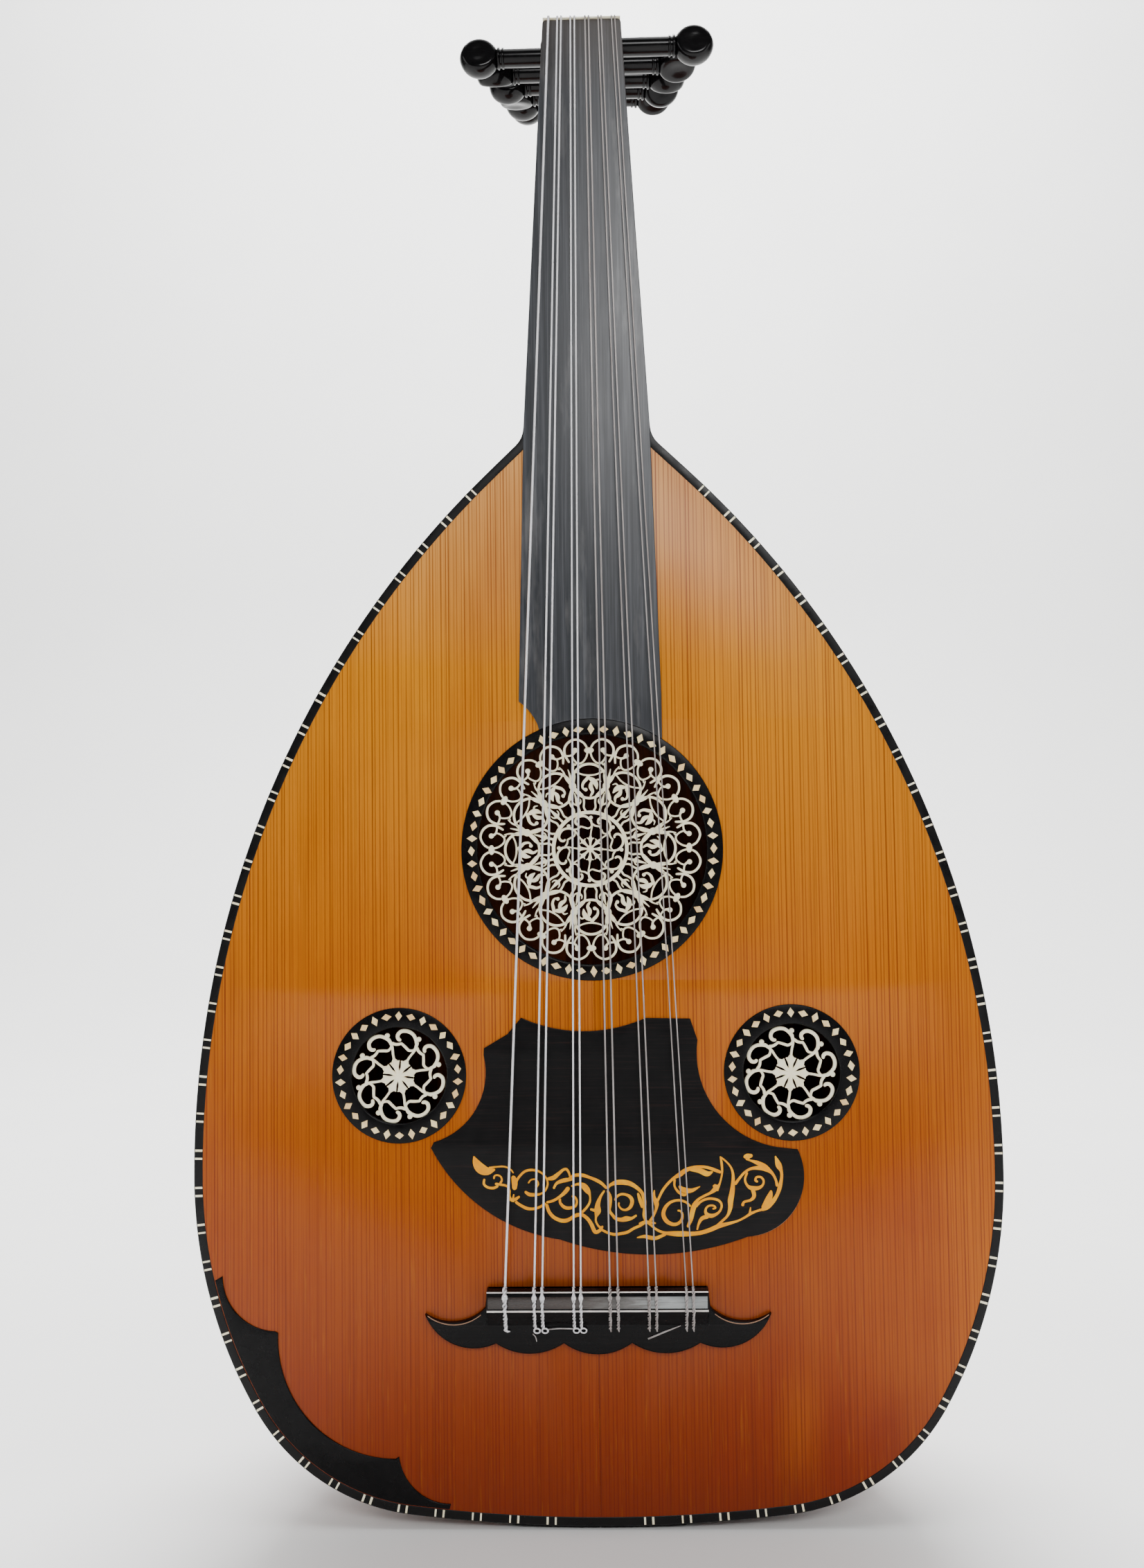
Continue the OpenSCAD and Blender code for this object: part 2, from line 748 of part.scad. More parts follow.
rose_ring(small_x, small_z, small_r, small_hole_r);  // small_rose_ring_right
for (side = [-1, 1]) diamonds(side * small_x, small_z, 26.9, 30, 4.6, 3);  // small_rose_diamonds
small_rose_tracery(-1);  // small_rose_tracery_left
small_rose_tracery(1);  // small_rose_tracery_right
string_course(0, 0);  // string_course_1
string_course(1, 2);  // string_course_2
string_course(3, 4);  // string_course_3
string_course(5, 6);  // string_course_4
string_course(7, 8);  // string_course_5
string_course(9, 10);  // string_course_6
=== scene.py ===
import math
import random

import bpy
import bmesh
import numpy as np
from mathutils import Matrix, Vector
from mathutils.geometry import tessellate_polygon


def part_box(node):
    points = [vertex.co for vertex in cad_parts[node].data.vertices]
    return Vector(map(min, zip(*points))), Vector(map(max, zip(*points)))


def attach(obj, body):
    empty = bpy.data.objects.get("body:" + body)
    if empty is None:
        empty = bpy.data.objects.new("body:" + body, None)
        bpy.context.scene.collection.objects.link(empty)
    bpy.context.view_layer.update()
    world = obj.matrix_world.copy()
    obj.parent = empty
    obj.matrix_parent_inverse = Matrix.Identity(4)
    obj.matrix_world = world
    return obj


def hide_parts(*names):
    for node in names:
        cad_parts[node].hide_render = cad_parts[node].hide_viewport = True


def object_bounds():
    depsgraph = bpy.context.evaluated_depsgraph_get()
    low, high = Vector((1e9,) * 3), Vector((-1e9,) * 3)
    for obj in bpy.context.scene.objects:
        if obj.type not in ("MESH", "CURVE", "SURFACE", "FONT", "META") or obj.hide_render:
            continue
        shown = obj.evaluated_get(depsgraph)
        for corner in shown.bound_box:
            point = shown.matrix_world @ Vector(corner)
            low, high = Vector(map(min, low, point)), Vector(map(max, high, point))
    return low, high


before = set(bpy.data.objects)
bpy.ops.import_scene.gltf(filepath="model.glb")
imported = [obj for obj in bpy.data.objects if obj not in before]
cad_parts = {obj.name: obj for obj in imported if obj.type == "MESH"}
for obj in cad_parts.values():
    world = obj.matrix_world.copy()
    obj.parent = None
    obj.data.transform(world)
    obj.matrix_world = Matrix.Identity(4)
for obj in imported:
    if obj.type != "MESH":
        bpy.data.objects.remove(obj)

CAD_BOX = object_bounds()
MM = 0.001
DICE = random.Random(7)


def box_mm(node):
    lo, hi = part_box(node)
    return np.array(lo) / MM, np.array(hi) / MM


# ---------- measures taken from the frame ----------

BINDING = box_mm("edge_binding")
HALF_W = BINDING[1][0]
JOINT_Z = BINDING[1][2]
BINDING_FRONT = BINDING[0][1]
BOARD_FRONT = box_mm("soundboard_left")[0][1]
FINGER = box_mm("fingerboard")
FINGER_FRONT, NUT_Z = FINGER[0][1], FINGER[1][2]
GUARD_FRONT = box_mm("pickguard")[0][1]
CORNER_FRONT = box_mm("corner_guard")[0][1]
TRACERY_FRONT = box_mm("main_rose_tracery")[0][1]
MAIN_BOX, LEFT_BOX, RIGHT_BOX = (box_mm(n) for n in
                                 ("main_rose_ring", "small_rose_ring_left", "small_rose_ring_right"))
MAIN_Z = (MAIN_BOX[0][2] + MAIN_BOX[1][2]) / 2
MAIN_R = (MAIN_BOX[1][2] - MAIN_BOX[0][2]) / 2
SMALL_Z = (LEFT_BOX[0][2] + LEFT_BOX[1][2]) / 2
SMALL_R = (LEFT_BOX[1][2] - LEFT_BOX[0][2]) / 2
SMALL_X = (RIGHT_BOX[0][0] + RIGHT_BOX[1][0]) / 2
ROSE_FRONT = MAIN_BOX[0][1]
BRIDGE = box_mm("bridge")
BRIDGE_Z = BRIDGE[1][2]
CLASP_LOW = box_mm("end_clasp")[0][2]

# ---------- measures of the design ----------

OUTLINE_LEGS = ((712, 6.43), (95, 53.23), (211, 29.26), (445, 46.51), (2000, 0.63), (-12, -43.6))
TAIL_R, TAIL_HEADING = 712, 0.5
BINDING_W = 4.2
RIB_COUNT, RIB_T = 15, 2.8
MAIN_HOLE, SMALL_HOLE = 53.0, 21.9
BOX_START, BOX_R, BOX_RISE, BOX_LEN = (6.0, 692.8), 518.0, 7.5, 162.0
BOX_HALF_W, BOX_TAPER, CHEEK_T = 18.2, 0.05, 4.5
PEG_LEFT_FIRST, PEG_RIGHT_FIRST, PEG_PITCH, PEG_R, PEG_TIP_R = 19.5, 9, 24, 4.5, 3.6
COLLAR_REACH = (21.5, 24, 16.5, 18, 13, 15, 11, 14, 10, 12, 10)
HEAD_TURN = (8, -6, 55, 70, 24, -38, 80, 35, 10, 62, -20)
KNOB_END, KNOB_HALF_T = 22, 5.2
NUT_X = (-15.6, -11.4, -9.6, -5.2, -3.3, 1.7, 3.4, 7.9, 9.4, 14.2, 15.8)
BRIDGE_X = (-41.6, -28.4, -24.8, -10.6, -7.4, 5.7, 9.3, 23.2, 26.5, 40.0, 43.1)
STRING_D = (1.2, 1.0, 1.0, 0.9, 0.9, 0.8, 0.8, 0.7, 0.7, 0.6, 0.6)
STRING_PEG = (0, 2, 4, 6, 8, 10, 9, 7, 5, 3, 1)
WINDING_X = (-10, -8, -6.4, -4.6, -2.8, -0.8, 1.8, 3.6, 5.4, 7.4, 9.6)
# windings that start nearer the middle than this run outward and the rest inward,
# so that neighbours clear each other and the cheeks
WINDING_SPLIT = 4
WOUND_COUNT = 5
COURSES = ((0,), (1, 2), (3, 4), (5, 6), (7, 8), (9, 10))
TIE_HALF_W = 50.0

# ---------- plane geometry ----------


def heading_vec(a):
    return np.array([math.sin(a), -math.cos(a)])


def half_outline(inset, step=2.5):
    """Right half of the body outline as (x, z) rows, tail to neck joint, moved inward by inset."""
    heading = math.radians(TAIL_HEADING)
    p = np.array([0.0, TAIL_R]) + (TAIL_R - inset) * heading_vec(heading)
    rows = [p]
    for radius, sweep in OUTLINE_LEGS:
        r, turn = radius - inset, math.radians(sweep)
        centre = p - r * heading_vec(heading)
        n = max(3, math.ceil(abs(radius * turn) / step))
        rows += [centre + r * heading_vec(heading + turn * k / n) for k in range(1, n + 1)]
        heading += turn
        p = rows[-1]
    return np.array(rows)


def fitted_outline(inset):
    """The half outline, scaled sideways so that its widest point is the frame's."""
    rows = half_outline(inset)
    rows[:, 0] *= HALF_W / half_outline(0)[:, 0].max()
    return rows


def mirror(rows):
    return np.array([(-x, z) for x, z in rows])


def bow(p, q, h, n=16):
    """Arc from p to q that bulges to the right of the way by h, without its last point."""
    p, q = np.array(p, float), np.array(q, float)
    chord = np.linalg.norm(q - p)
    way = (q - p) / chord
    outward = np.array([way[1], -way[0]])
    half = 2 * math.atan(2 * h / chord)
    r = chord / (2 * math.sin(half))
    return [(p + q) / 2 + outward * r * (math.cos(a) - math.cos(half)) + way * r * math.sin(a)
            for a in np.linspace(-half, half, n, endpoint=False)]


def circle(x, z, r, n=96, turn=0.0):
    return [(x + r * math.cos(a + turn), z + r * math.sin(a + turn))
            for a in np.linspace(0, 2 * math.pi, n, endpoint=False)]


def arc(x, z, r, a0, a1, n=24):
    """Points of an arc between two angles in degrees, anticlockwise from +X where a1 is larger."""
    return [(x + r * math.cos(a), z + r * math.sin(a)) for a in np.radians(np.linspace(a0, a1, n))]


def turned(rows, degrees, centre=(0, 0)):
    """Rows (x, z, ...) turned clockwise about the origin, then moved to centre."""
    a = math.radians(degrees)
    c, s = math.cos(a), math.sin(a)
    return [(centre[0] + x * c + z * s, centre[1] - x * s + z * c, *rest) for x, z, *rest in rows]


def smooth_path(rows, step, dims=2):
    """Catmull-Rom curve through the rows; the first dims columns are a place and set the spacing."""
    p = np.array(rows, float)
    q = np.vstack([2 * p[0] - p[1], p, 2 * p[-1] - p[-2]])
    out = []
    for i in range(1, len(q) - 2):
        a, b, c, d = q[i - 1:i + 3]
        n = max(1, math.ceil(np.linalg.norm((c - b)[:dims]) / step))
        for k in range(n):
            t = k / n
            out.append(0.5 * (2 * b + (c - a) * t + (2 * a - 5 * b + 4 * c - d) * t ** 2
                              + (3 * b - a - 3 * c + d) * t ** 3))
    out.append(p[-1])
    return np.array(out)


# ---------- mesh building ----------


class Shape:
    """Vertices in millimetres and faces of one piece, with a shading flag for each face."""

    def __init__(self):
        self.verts, self.faces, self.flags, self.uv, self.tone = [], [], [], [], []

    def add(self, verts, faces, smooth=True, uv=None, tone=0.5):
        base = len(self.verts)
        self.verts += [tuple(v) for v in verts]
        self.faces += [tuple(base + i for i in f) for f in faces]
        self.flags += list(smooth) if isinstance(smooth, list) else [smooth] * len(faces)
        self.uv += list(uv) if uv is not None else [(0, 0)] * len(verts)
        self.tone += [tone] * len(verts)

    def slab(self, loops, back, front, bevel, place, back_bevel=0.0, steps=4, tone=0.5):
        """A flat piece with rounded edges. The first loop is its outline and runs anticlockwise, holes
        run clockwise. place(u, v, h) gives the point at height h."""
        sections = []
        if back_bevel:
            sections += [(back_bevel * (1 - math.sin(a)),
                          back - math.copysign(back_bevel * (1 - math.cos(a)), back - front))
                         for a in np.linspace(0, math.pi / 2, steps + 1)]
        else:
            sections.append((0, back))
        up = math.copysign(1, front - back)
        sections += [(bevel * (1 - math.cos(a)), front - up * bevel * (1 - math.sin(a)))
                     for a in np.linspace(0, math.pi / 2, steps + 1)]
        verts, faces, flags, starts = [], [], [], []
        for loop in loops:
            loop = np.array(loop, float)
            n = len(loop)
            starts.append((len(verts), n))
            for inset, h in sections:
                verts += [place(u, v, h) for u, v in inset_loop(loop, inset)]
            for k in range(len(sections) - 1):
                for i in range(n):
                    j = (i + 1) % n
                    a, b = starts[-1][0] + k * n, starts[-1][0] + (k + 1) * n
                    faces.append((a + i, a + j, b + j, b + i))
                    flags.append(True)
        for level in (0, len(sections) - 1):
            ids, polys = [], []
            for (start, n), loop in zip(starts, loops):
                rows = inset_loop(np.array(loop, float), sections[level][0])
                polys.append([Vector((u, v, 0)) for u, v in rows])
                ids += [start + level * n + i for i in range(n)]
            for tri in tessellate_polygon(polys):
                faces.append(tuple(ids[i] for i in tri))
                flags.append(False)
        self.add(verts, faces, flags, tone=tone)

    def ribbon(self, rows, front, back, dome, closed=False, step=0.55, tone=0.5):
        """A strip standing from back to front whose front is rounded across; rows are (x, z, width)."""
        path = smooth_path(list(rows) + ([rows[0]] if closed else []), step)
        seg = np.linalg.norm(np.diff(path[:, :2], axis=0), axis=1)
        s = np.concatenate([[0], np.cumsum(seg)])
        length = s[-1]
        if closed:
            at = s[:-1]
            share = np.ones(len(at))
        else:
            tips = np.array([0.0, 0.1, 0.3, 0.6])
            w0, w1 = min(path[0, 2], length) / 2, min(path[-1, 2], length) / 2
            inner = [v for v in s if w0 < v < length - w1]
            at = np.array([*(tips * w0), *([w0] + inner + [length - w1]), *(length - tips[::-1] * w1)])
            share = np.array([*np.sqrt(1 - (1 - tips) ** 2), *([1.0] * (len(inner) + 2)),
                              *np.sqrt(1 - (1 - tips[::-1]) ** 2)])
            share = np.maximum(share, 0.08)
        cols = [np.interp(at, s, path[:, k]) for k in range(3)]
        pts = np.stack(cols[:2], 1)
        way = np.roll(pts, -1, 0) - np.roll(pts, 1, 0) if closed else np.gradient(pts, axis=0)
        way /= np.maximum(np.linalg.norm(way, axis=1), 1e-9)[:, None]
        side = np.stack([-way[:, 1], way[:, 0]], 1)
        section = ((-1, None), (-1, 1.0), (-0.8, 0.35), (-0.45, 0.06), (0.45, 0.06), (0.8, 0.35), (1, 1.0),
                   (1, None))
        m, n = len(section), len(pts)
        verts = []
        for i in range(n):
            half, lift = cols[2][i] / 2 * share[i], dome * (1.25 - 0.25 * share[i])
            for u, drop in section:
                x, z = pts[i] + side[i] * half * u
                verts.append((x, back if drop is None else front + lift * drop, z))
        faces = []
        for i in range(n if closed else n - 1):
            j = (i + 1) % n
            faces += [(i * m + k, j * m + k, j * m + (k + 1) % m, i * m + (k + 1) % m) for k in range(m)]
        if not closed:
            faces += [tuple(range(m)), tuple(range((n - 1) * m, n * m))]
        self.add(verts, faces, True, tone=tone)

    def bead(self, x, z, r, front, back, dome, rz=None, turn=0.0, tone=0.5):
        """A round or oval button standing from back to a domed front; turn is clockwise."""
        rz = rz or r
        rings = ((1, None), (1, 1.0), (0.82, 0.38), (0.5, 0.08))
        n = 20
        verts, faces = [], []
        for share, drop in rings:
            rows = [(r * share * math.cos(a), rz * share * math.sin(a))
                    for a in np.linspace(0, 2 * math.pi, n, endpoint=False)]
            verts += [(u, back if drop is None else front + dome * drop, v)
                      for u, v in turned(rows, turn, (x, z))]
        verts.append((x, front, z))
        for k in range(len(rings) - 1):
            faces += [(k * n + i, k * n + (i + 1) % n, (k + 1) * n + (i + 1) % n, (k + 1) * n + i)
                      for i in range(n)]
        last = (len(rings) - 1) * n
        faces += [(last + i, last + (i + 1) % n, len(verts) - 1) for i in range(n)]
        faces.append(tuple(range(n)))
        self.add(verts, faces, True, tone=tone)

    def tube(self, rows, radius, segments=10, closed=False, tone=0.5):
        """A round strand along 3-D rows; radius is a number or one for each row."""
        p = np.array(rows, float)[:, :3]
        n = len(p)
        radii = np.broadcast_to(np.array(radius, float), (n,))
        way = np.roll(p, -1, 0) - np.roll(p, 1, 0) if closed else np.gradient(p, axis=0)
        way /= np.maximum(np.linalg.norm(way, axis=1), 1e-9)[:, None]
        normal = np.cross(way[0], (1, 0, 0) if abs(way[0][0]) < 0.9 else (0, 1, 0))
        verts = []
        for i in range(n):
            normal = normal - way[i] * (normal @ way[i])
            normal /= np.linalg.norm(normal)
            other = np.cross(way[i], normal)
            verts += [p[i] + radii[i] * (normal * math.cos(a) + other * math.sin(a))
                      for a in np.linspace(0, 2 * math.pi, segments, endpoint=False)]
        faces = []
        for i in range(n if closed else n - 1):
            j = (i + 1) % n
            faces += [(i * segments + k, i * segments + (k + 1) % segments,
                       j * segments + (k + 1) % segments, j * segments + k) for k in range(segments)]
        if not closed:
            faces += [tuple(range(segments)), tuple(range((n - 1) * segments, n * segments))]
        self.add(verts, faces, True, tone=tone)

    def lathe(self, profile, place, segments=96):
        """Turns a closed profile of (r, h) rows about an axis; place(u, v, h) gives the point."""
        n = len(profile)
        verts, faces = [], []
        for a in np.linspace(0, 2 * math.pi, segments, endpoint=False):
            verts += [place(r * math.cos(a), r * math.sin(a), h) for r, h in profile]
        for i in range(segments):
            j = (i + 1) % segments
            faces += [(i * n + k, i * n + (k + 1) % n, j * n + (k + 1) % n, j * n + k) for k in range(n)]
        self.add(verts, faces, True)

    def blob(self, centre, radii, segments=14, rings=8, lump=0.0):
        """A small lump, round with its surface varied a little."""
        verts, faces = [], []
        for i in range(1, rings):
            t = math.pi * i / rings
            for a in np.linspace(0, 2 * math.pi, segments, endpoint=False):
                d = np.array([math.sin(t) * math.cos(a), math.sin(t) * math.sin(a), math.cos(t)])
                swell = 1 + lump * math.sin(5 * a + 9 * t)
                verts.append(np.array(centre) + d * np.array(radii) * swell)
        top, low = np.array(centre) + (0, 0, radii[2]), np.array(centre) - (0, 0, radii[2])
        verts += [top, low]
        for i in range(rings - 2):
            faces += [(i * segments + k, i * segments + (k + 1) % segments,
                       (i + 1) * segments + (k + 1) % segments, (i + 1) * segments + k)
                      for k in range(segments)]
        last = (rings - 2) * segments
        faces += [(k, (k + 1) % segments, len(verts) - 2) for k in range(segments)]
        faces += [(last + k, last + (k + 1) % segments, len(verts) - 1) for k in range(segments)]
        self.add(verts, faces, True)

    def piece(self, name, material, slot, body="body", replaces=(), sharp=38):
        """Makes the object, shades it, and sets what it rides on and stands for."""
        mesh = bpy.data.meshes.new(name)
        mesh.from_pydata([[c * MM for c in v] for v in self.verts], [], self.faces)
        bm = bmesh.new()
        bm.from_mesh(mesh)
        bmesh.ops.recalc_face_normals(bm, faces=bm.faces)
        bm.to_mesh(mesh)
        bm.free()
        mesh.polygons.foreach_set("use_smooth", self.flags)
        tone = mesh.attributes.new("tone", "FLOAT", "POINT")
        tone.data.foreach_set("value", self.tone)
        if any(u or v for u, v in self.uv):
            layer = mesh.uv_layers.new(name="grain")
            for loop in mesh.loops:
                layer.data[loop.index].uv = self.uv[loop.vertex_index]
        mesh.set_sharp_from_angle(angle=math.radians(sharp))
        obj = bpy.data.objects.new(name, mesh)
        bpy.context.scene.collection.objects.link(obj)
        obj.data.materials.append(material)
        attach(obj, body)
        if replaces:
            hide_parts(*replaces)
        return obj


def inset_loop(loop, d):
    """The loop's points moved to the left of the way by d, with limited mitres."""
    if d == 0:
        return loop
    before, after = loop - np.roll(loop, 1, 0), np.roll(loop, -1, 0) - loop
    before /= np.maximum(np.linalg.norm(before, axis=1), 1e-9)[:, None]
    after /= np.maximum(np.linalg.norm(after, axis=1), 1e-9)[:, None]
    n1 = np.stack([-before[:, 1], before[:, 0]], 1)
    n2 = np.stack([-after[:, 1], after[:, 0]], 1)
    m = n1 + n2
    m *= (2 / np.maximum((m * m).sum(1), 0.6))[:, None]
    return loop + m * d


def facing(u, v, h):
    """Drawn in X and Z, with h along Y."""
    return (u, h, v)


def anticlockwise(loop):
    loop = np.array(loop, float)
    x, z = loop[:, 0], loop[:, 1]
    area = (x * np.roll(z, -1) - np.roll(x, -1) * z).sum()
    return loop if area > 0 else loop[::-1]


def clockwise(loop):
    return anticlockwise(loop)[::-1]


# ---------- materials ----------


def srgb(r, g, b):
    """Linear colour from 0-255 display values."""
    return tuple((c / 255 / 12.92) if c / 255 <= 0.04045 else ((c / 255 + 0.055) / 1.055) ** 2.4
                 for c in (r, g, b)) + (1,)


class Finish:
    """A procedural material: a Principled shader and the nodes that feed it."""

    def __init__(self, name, **sockets):
        self.material = bpy.data.materials.new(name)
        self.material.use_nodes = True
        self.tree = self.material.node_tree
        self.tree.nodes.clear()
        self.shader = self.tree.nodes.new("ShaderNodeBsdfPrincipled")
        out = self.tree.nodes.new("ShaderNodeOutputMaterial")
        self.tree.links.new(self.shader.outputs[0], out.inputs[0])
        for key, value in sockets.items():
            self.shader.inputs[key.replace("_", " ")].default_value = value
        self.place = self.tree.nodes.new("ShaderNodeTexCoord").outputs["Object"]
        self.bumps = []

    def node(self, kind, **settings):
        made = self.tree.nodes.new("ShaderNode" + kind)
        for key, value in settings.items():
            setattr(made, key, value)
        return made

    def feed(self, socket, value):
        if isinstance(value, bpy.types.NodeSocket):
            self.tree.links.new(value, socket)
        else:
            socket.default_value = value

    def stretched(self, scale, source=None):
        made = self.node("Mapping")
        self.feed(made.inputs["Vector"], source or self.place)
        made.inputs["Scale"].default_value = scale
        return made.outputs[0]

    def grain_uv(self):
        return self.node("UVMap", uv_map="grain").outputs[0]

    def noise(self, scale, detail=3.0, rough=0.6, distortion=0.0, source=None):
        made = self.node("TexNoise")
        self.feed(made.inputs["Vector"], self.stretched(scale, source))
        made.inputs["Scale"].default_value = 1.0
        made.inputs["Detail"].default_value = detail
        made.inputs["Roughness"].default_value = rough
        made.inputs["Distortion"].default_value = distortion
        return made.outputs["Fac"]

    def wave(self, scale, direction="X", distortion=1.0, detail=2.0, detail_scale=1.0):
        made = self.node("TexWave", wave_type="BANDS", bands_direction=direction)
        self.feed(made.inputs["Vector"], self.stretched(scale))
        made.inputs["Scale"].default_value = 1.0
        made.inputs["Distortion"].default_value = distortion
        made.inputs["Detail"].default_value = detail
        made.inputs["Detail Scale"].default_value = detail_scale
        return made.outputs["Fac"]

    def ramp(self, source, *stops):
        """stops are (place, colour or grey)."""
        made = self.node("ValToRGB")
        self.feed(made.inputs[0], source)
        band = made.color_ramp
        while len(band.elements) < len(stops):
            band.elements.new(0.5)
        for element, (at, value) in zip(band.elements, stops):
            element.position = at
            element.color = value if isinstance(value, tuple) else (value, value, value, 1)
        return made.outputs[0]

    def mix(self, a, b, share):
        made = self.node("Mix", data_type="RGBA")
        self.feed(made.inputs[0], share)
        self.feed(made.inputs[6], a)
        self.feed(made.inputs[7], b)
        return made.outputs[2]

    def math(self, operation, a, b=0.0):
        made = self.node("Math", operation=operation)
        for socket, value in zip(made.inputs, (a, b)):
            self.feed(socket, value)
        return made.outputs[0]

    def span(self, source, lo, hi, to_lo=0.0, to_hi=1.0):
        made = self.node("MapRange", clamp=True)
        for socket, value in zip(made.inputs, (source, lo, hi, to_lo, to_hi)):
            self.feed(socket, value)
        return made.outputs[0]

    def tone(self):
        return self.node("Attribute", attribute_name="tone").outputs["Fac"]

    def axis(self, name):
        parts = self.node("SeparateXYZ")
        self.feed(parts.inputs[0], self.place)
        return parts.outputs[name]

    def colour(self, value):
        self.feed(self.shader.inputs["Base Color"], value)

    def roughness(self, value):
        self.feed(self.shader.inputs["Roughness"], value)

    def bump(self, height, strength, distance=0.0002):
        """Adds a bump on top of those before it."""
        made = self.node("Bump")
        made.inputs["Strength"].default_value = strength
        made.inputs["Distance"].default_value = distance
        self.feed(made.inputs["Height"], height)
        if self.bumps:
            self.feed(made.inputs["Normal"], self.bumps[-1])
        self.bumps.append(made.outputs[0])
        self.feed(self.shader.inputs["Normal"], made.outputs[0])


def soundboard_finish():
    """Golden varnished spruce, redder towards the tail, with a fine upright grain."""
    f = Finish("varnished_spruce_top", Specular_IOR_Level=0.06, Coat_Weight=0.32, Coat_Roughness=0.28)
    height = f.span(f.axis("Z"), 0.0, 0.5)
    body = f.ramp(height, (0.0, srgb(120, 38, 0)), (0.12, srgb(132, 51, 0)), (0.26, srgb(150, 70, 0)),
                  (0.52, srgb(176, 98, 0)), (0.78, srgb(196, 124, 2)), (1.0, srgb(210, 152, 88)))
    cloud = f.noise((14, 14, 5), detail=4, rough=0.55)
    body = f.mix(body, srgb(128, 34, 0), f.span(cloud, 0.45, 0.8, 0.0, 0.5))
    body = f.mix(body, srgb(220, 130, 0), f.span(f.noise((9, 9, 3)), 0.52, 0.8, 0.0, 0.4))
    lines = f.math("MULTIPLY", f.wave((252, 252, 0.8), distortion=3.4, detail=4, detail_scale=0.9),
                   f.wave((171, 171, 0.5), distortion=5.0, detail=3, detail_scale=0.6))
    fine = f.noise((1500, 1500, 10), detail=2)
    coarse = f.noise((260, 260, 2.2), detail=3)
    dark = f.math("MULTIPLY", f.span(lines, 0.15, 0.7), f.span(coarse, 0.25, 0.7, 0.3, 1.0))
    body = f.mix(body, srgb(104, 26, 0), f.math("MULTIPLY", dark, 0.78))
    body = f.mix(body, srgb(84, 20, 0), f.span(fine, 0.52, 0.85, 0.0, 0.5))
    streak = f.noise((900, 900, 34), detail=2, rough=0.7)
    body = f.mix(body, srgb(236, 160, 20), f.span(streak, 0.6, 0.85, 0.0, 0.12))
    f.colour(body)
    f.roughness(f.span(f.noise((60, 60, 30), detail=4), 0.3, 0.7, 0.34, 0.5))
    f.bump(lines, 0.12, 0.00008)
    f.bump(fine, 0.14, 0.00006)
    f.bump(f.noise((20, 20, 8), detail=1), 0.22, 0.0006)
    return f.material


def rib_finish():
    """Figured rosewood; the grain map runs along the rib and the tone differs from rib to rib."""
    f = Finish("rosewood_ribs", Specular_IOR_Level=0.25, Coat_Weight=0.15, Coat_Roughness=0.14)
    uv = f.grain_uv()
    broad = f.noise((6, 120, 1), detail=4, rough=0.6, distortion=1.2, source=uv)
    body = f.ramp(broad, (0.2, srgb(48, 16, 6)), (0.45, srgb(84, 32, 10)), (0.62, srgb(110, 48, 16)),
                  (0.85, srgb(66, 24, 8)))
    stripe = f.noise((3.5, 420, 1), detail=3, rough=0.7, source=uv)
    body = f.mix(body, srgb(30, 12, 8), f.span(stripe, 0.52, 0.75, 0.0, 0.75))
    pores = f.noise((90, 2600, 1), detail=2, source=uv)
    body = f.mix(body, srgb(24, 10, 6), f.span(pores, 0.58, 0.75, 0.0, 0.6))
    body = f.mix(body, srgb(160, 88, 44), f.span(f.tone(), 0.5, 1.0, 0.0, 0.35))
    body = f.mix(body, srgb(40, 16, 9), f.span(f.tone(), 0.0, 0.5, 0.35, 0.0))
    f.colour(body)
    f.roughness(f.span(pores, 0.3, 0.8, 0.26, 0.42))
    f.bump(pores, 0.1, 0.0001)
    f.bump(f.noise((25, 90, 1), source=uv), 0.08, 0.0004)
    return f.material


def black_finish(name, grain=(60, 60, 900), rough=0.3, gloss=0.12, coat=0.0, lift=0.0, streaks=0.0):
    """Black wood or lacquer with a fine grain, faint streaks and a satin to glossy face."""
    f = Finish(name, Specular_IOR_Level=gloss, Coat_Weight=coat, Coat_Roughness=0.1)
    g = f.noise(grain, detail=4, rough=0.65)
    body = f.ramp(g, (0.3, srgb(4 + lift, 4 + lift, 5 + lift)), (0.7, srgb(12 + lift, 11 + lift, 12 + lift)))
    if streaks:
        body = f.mix(body, srgb(58, 32, 24), f.span(f.noise(grain, detail=5, rough=0.8), 0.54, 0.85, 0.0,
                                                    streaks))
    body = f.mix(body, srgb(36, 34, 34), f.span(f.noise((240, 240, 240), detail=3), 0.66, 0.85, 0.0, 0.25))
    f.colour(body)
    f.roughness(f.span(f.noise((130, 130, 130), detail=4), 0.3, 0.7, rough - 0.06, rough + 0.1))
    f.bump(g, 0.1, 0.00008)
    return f.material


def fingerboard_finish():
    f = Finish("worn_grey_black_fingerboard", Specular_IOR_Level=0.4, Coat_Weight=0.1, Coat_Roughness=0.3)
    g = f.noise((700, 700, 9), detail=4, rough=0.7)
    body = f.ramp(g, (0.28, srgb(26, 28, 31)), (0.5, srgb(46, 48, 52)), (0.75, srgb(80, 82, 87)))
    wear = f.noise((55, 55, 9), detail=5, rough=0.65)
    body = f.mix(body, srgb(150, 148, 146), f.span(wear, 0.56, 0.78, 0.0, 0.4))
    body = f.mix(body, srgb(34, 34, 37), f.span(f.noise((90, 90, 5), detail=3), 0.56, 0.8, 0.0, 0.55))
    body = f.mix(body, srgb(74, 60, 46), f.span(f.axis("Z"), 0.66, 0.7, 0.0, 0.35))
    f.colour(body)
    f.roughness(f.span(wear, 0.3, 0.75, 0.42, 0.26))
    f.bump(g, 0.2, 0.00008)
    f.bump(f.noise((90, 90, 22), detail=2), 0.12, 0.0003)
    return f.material


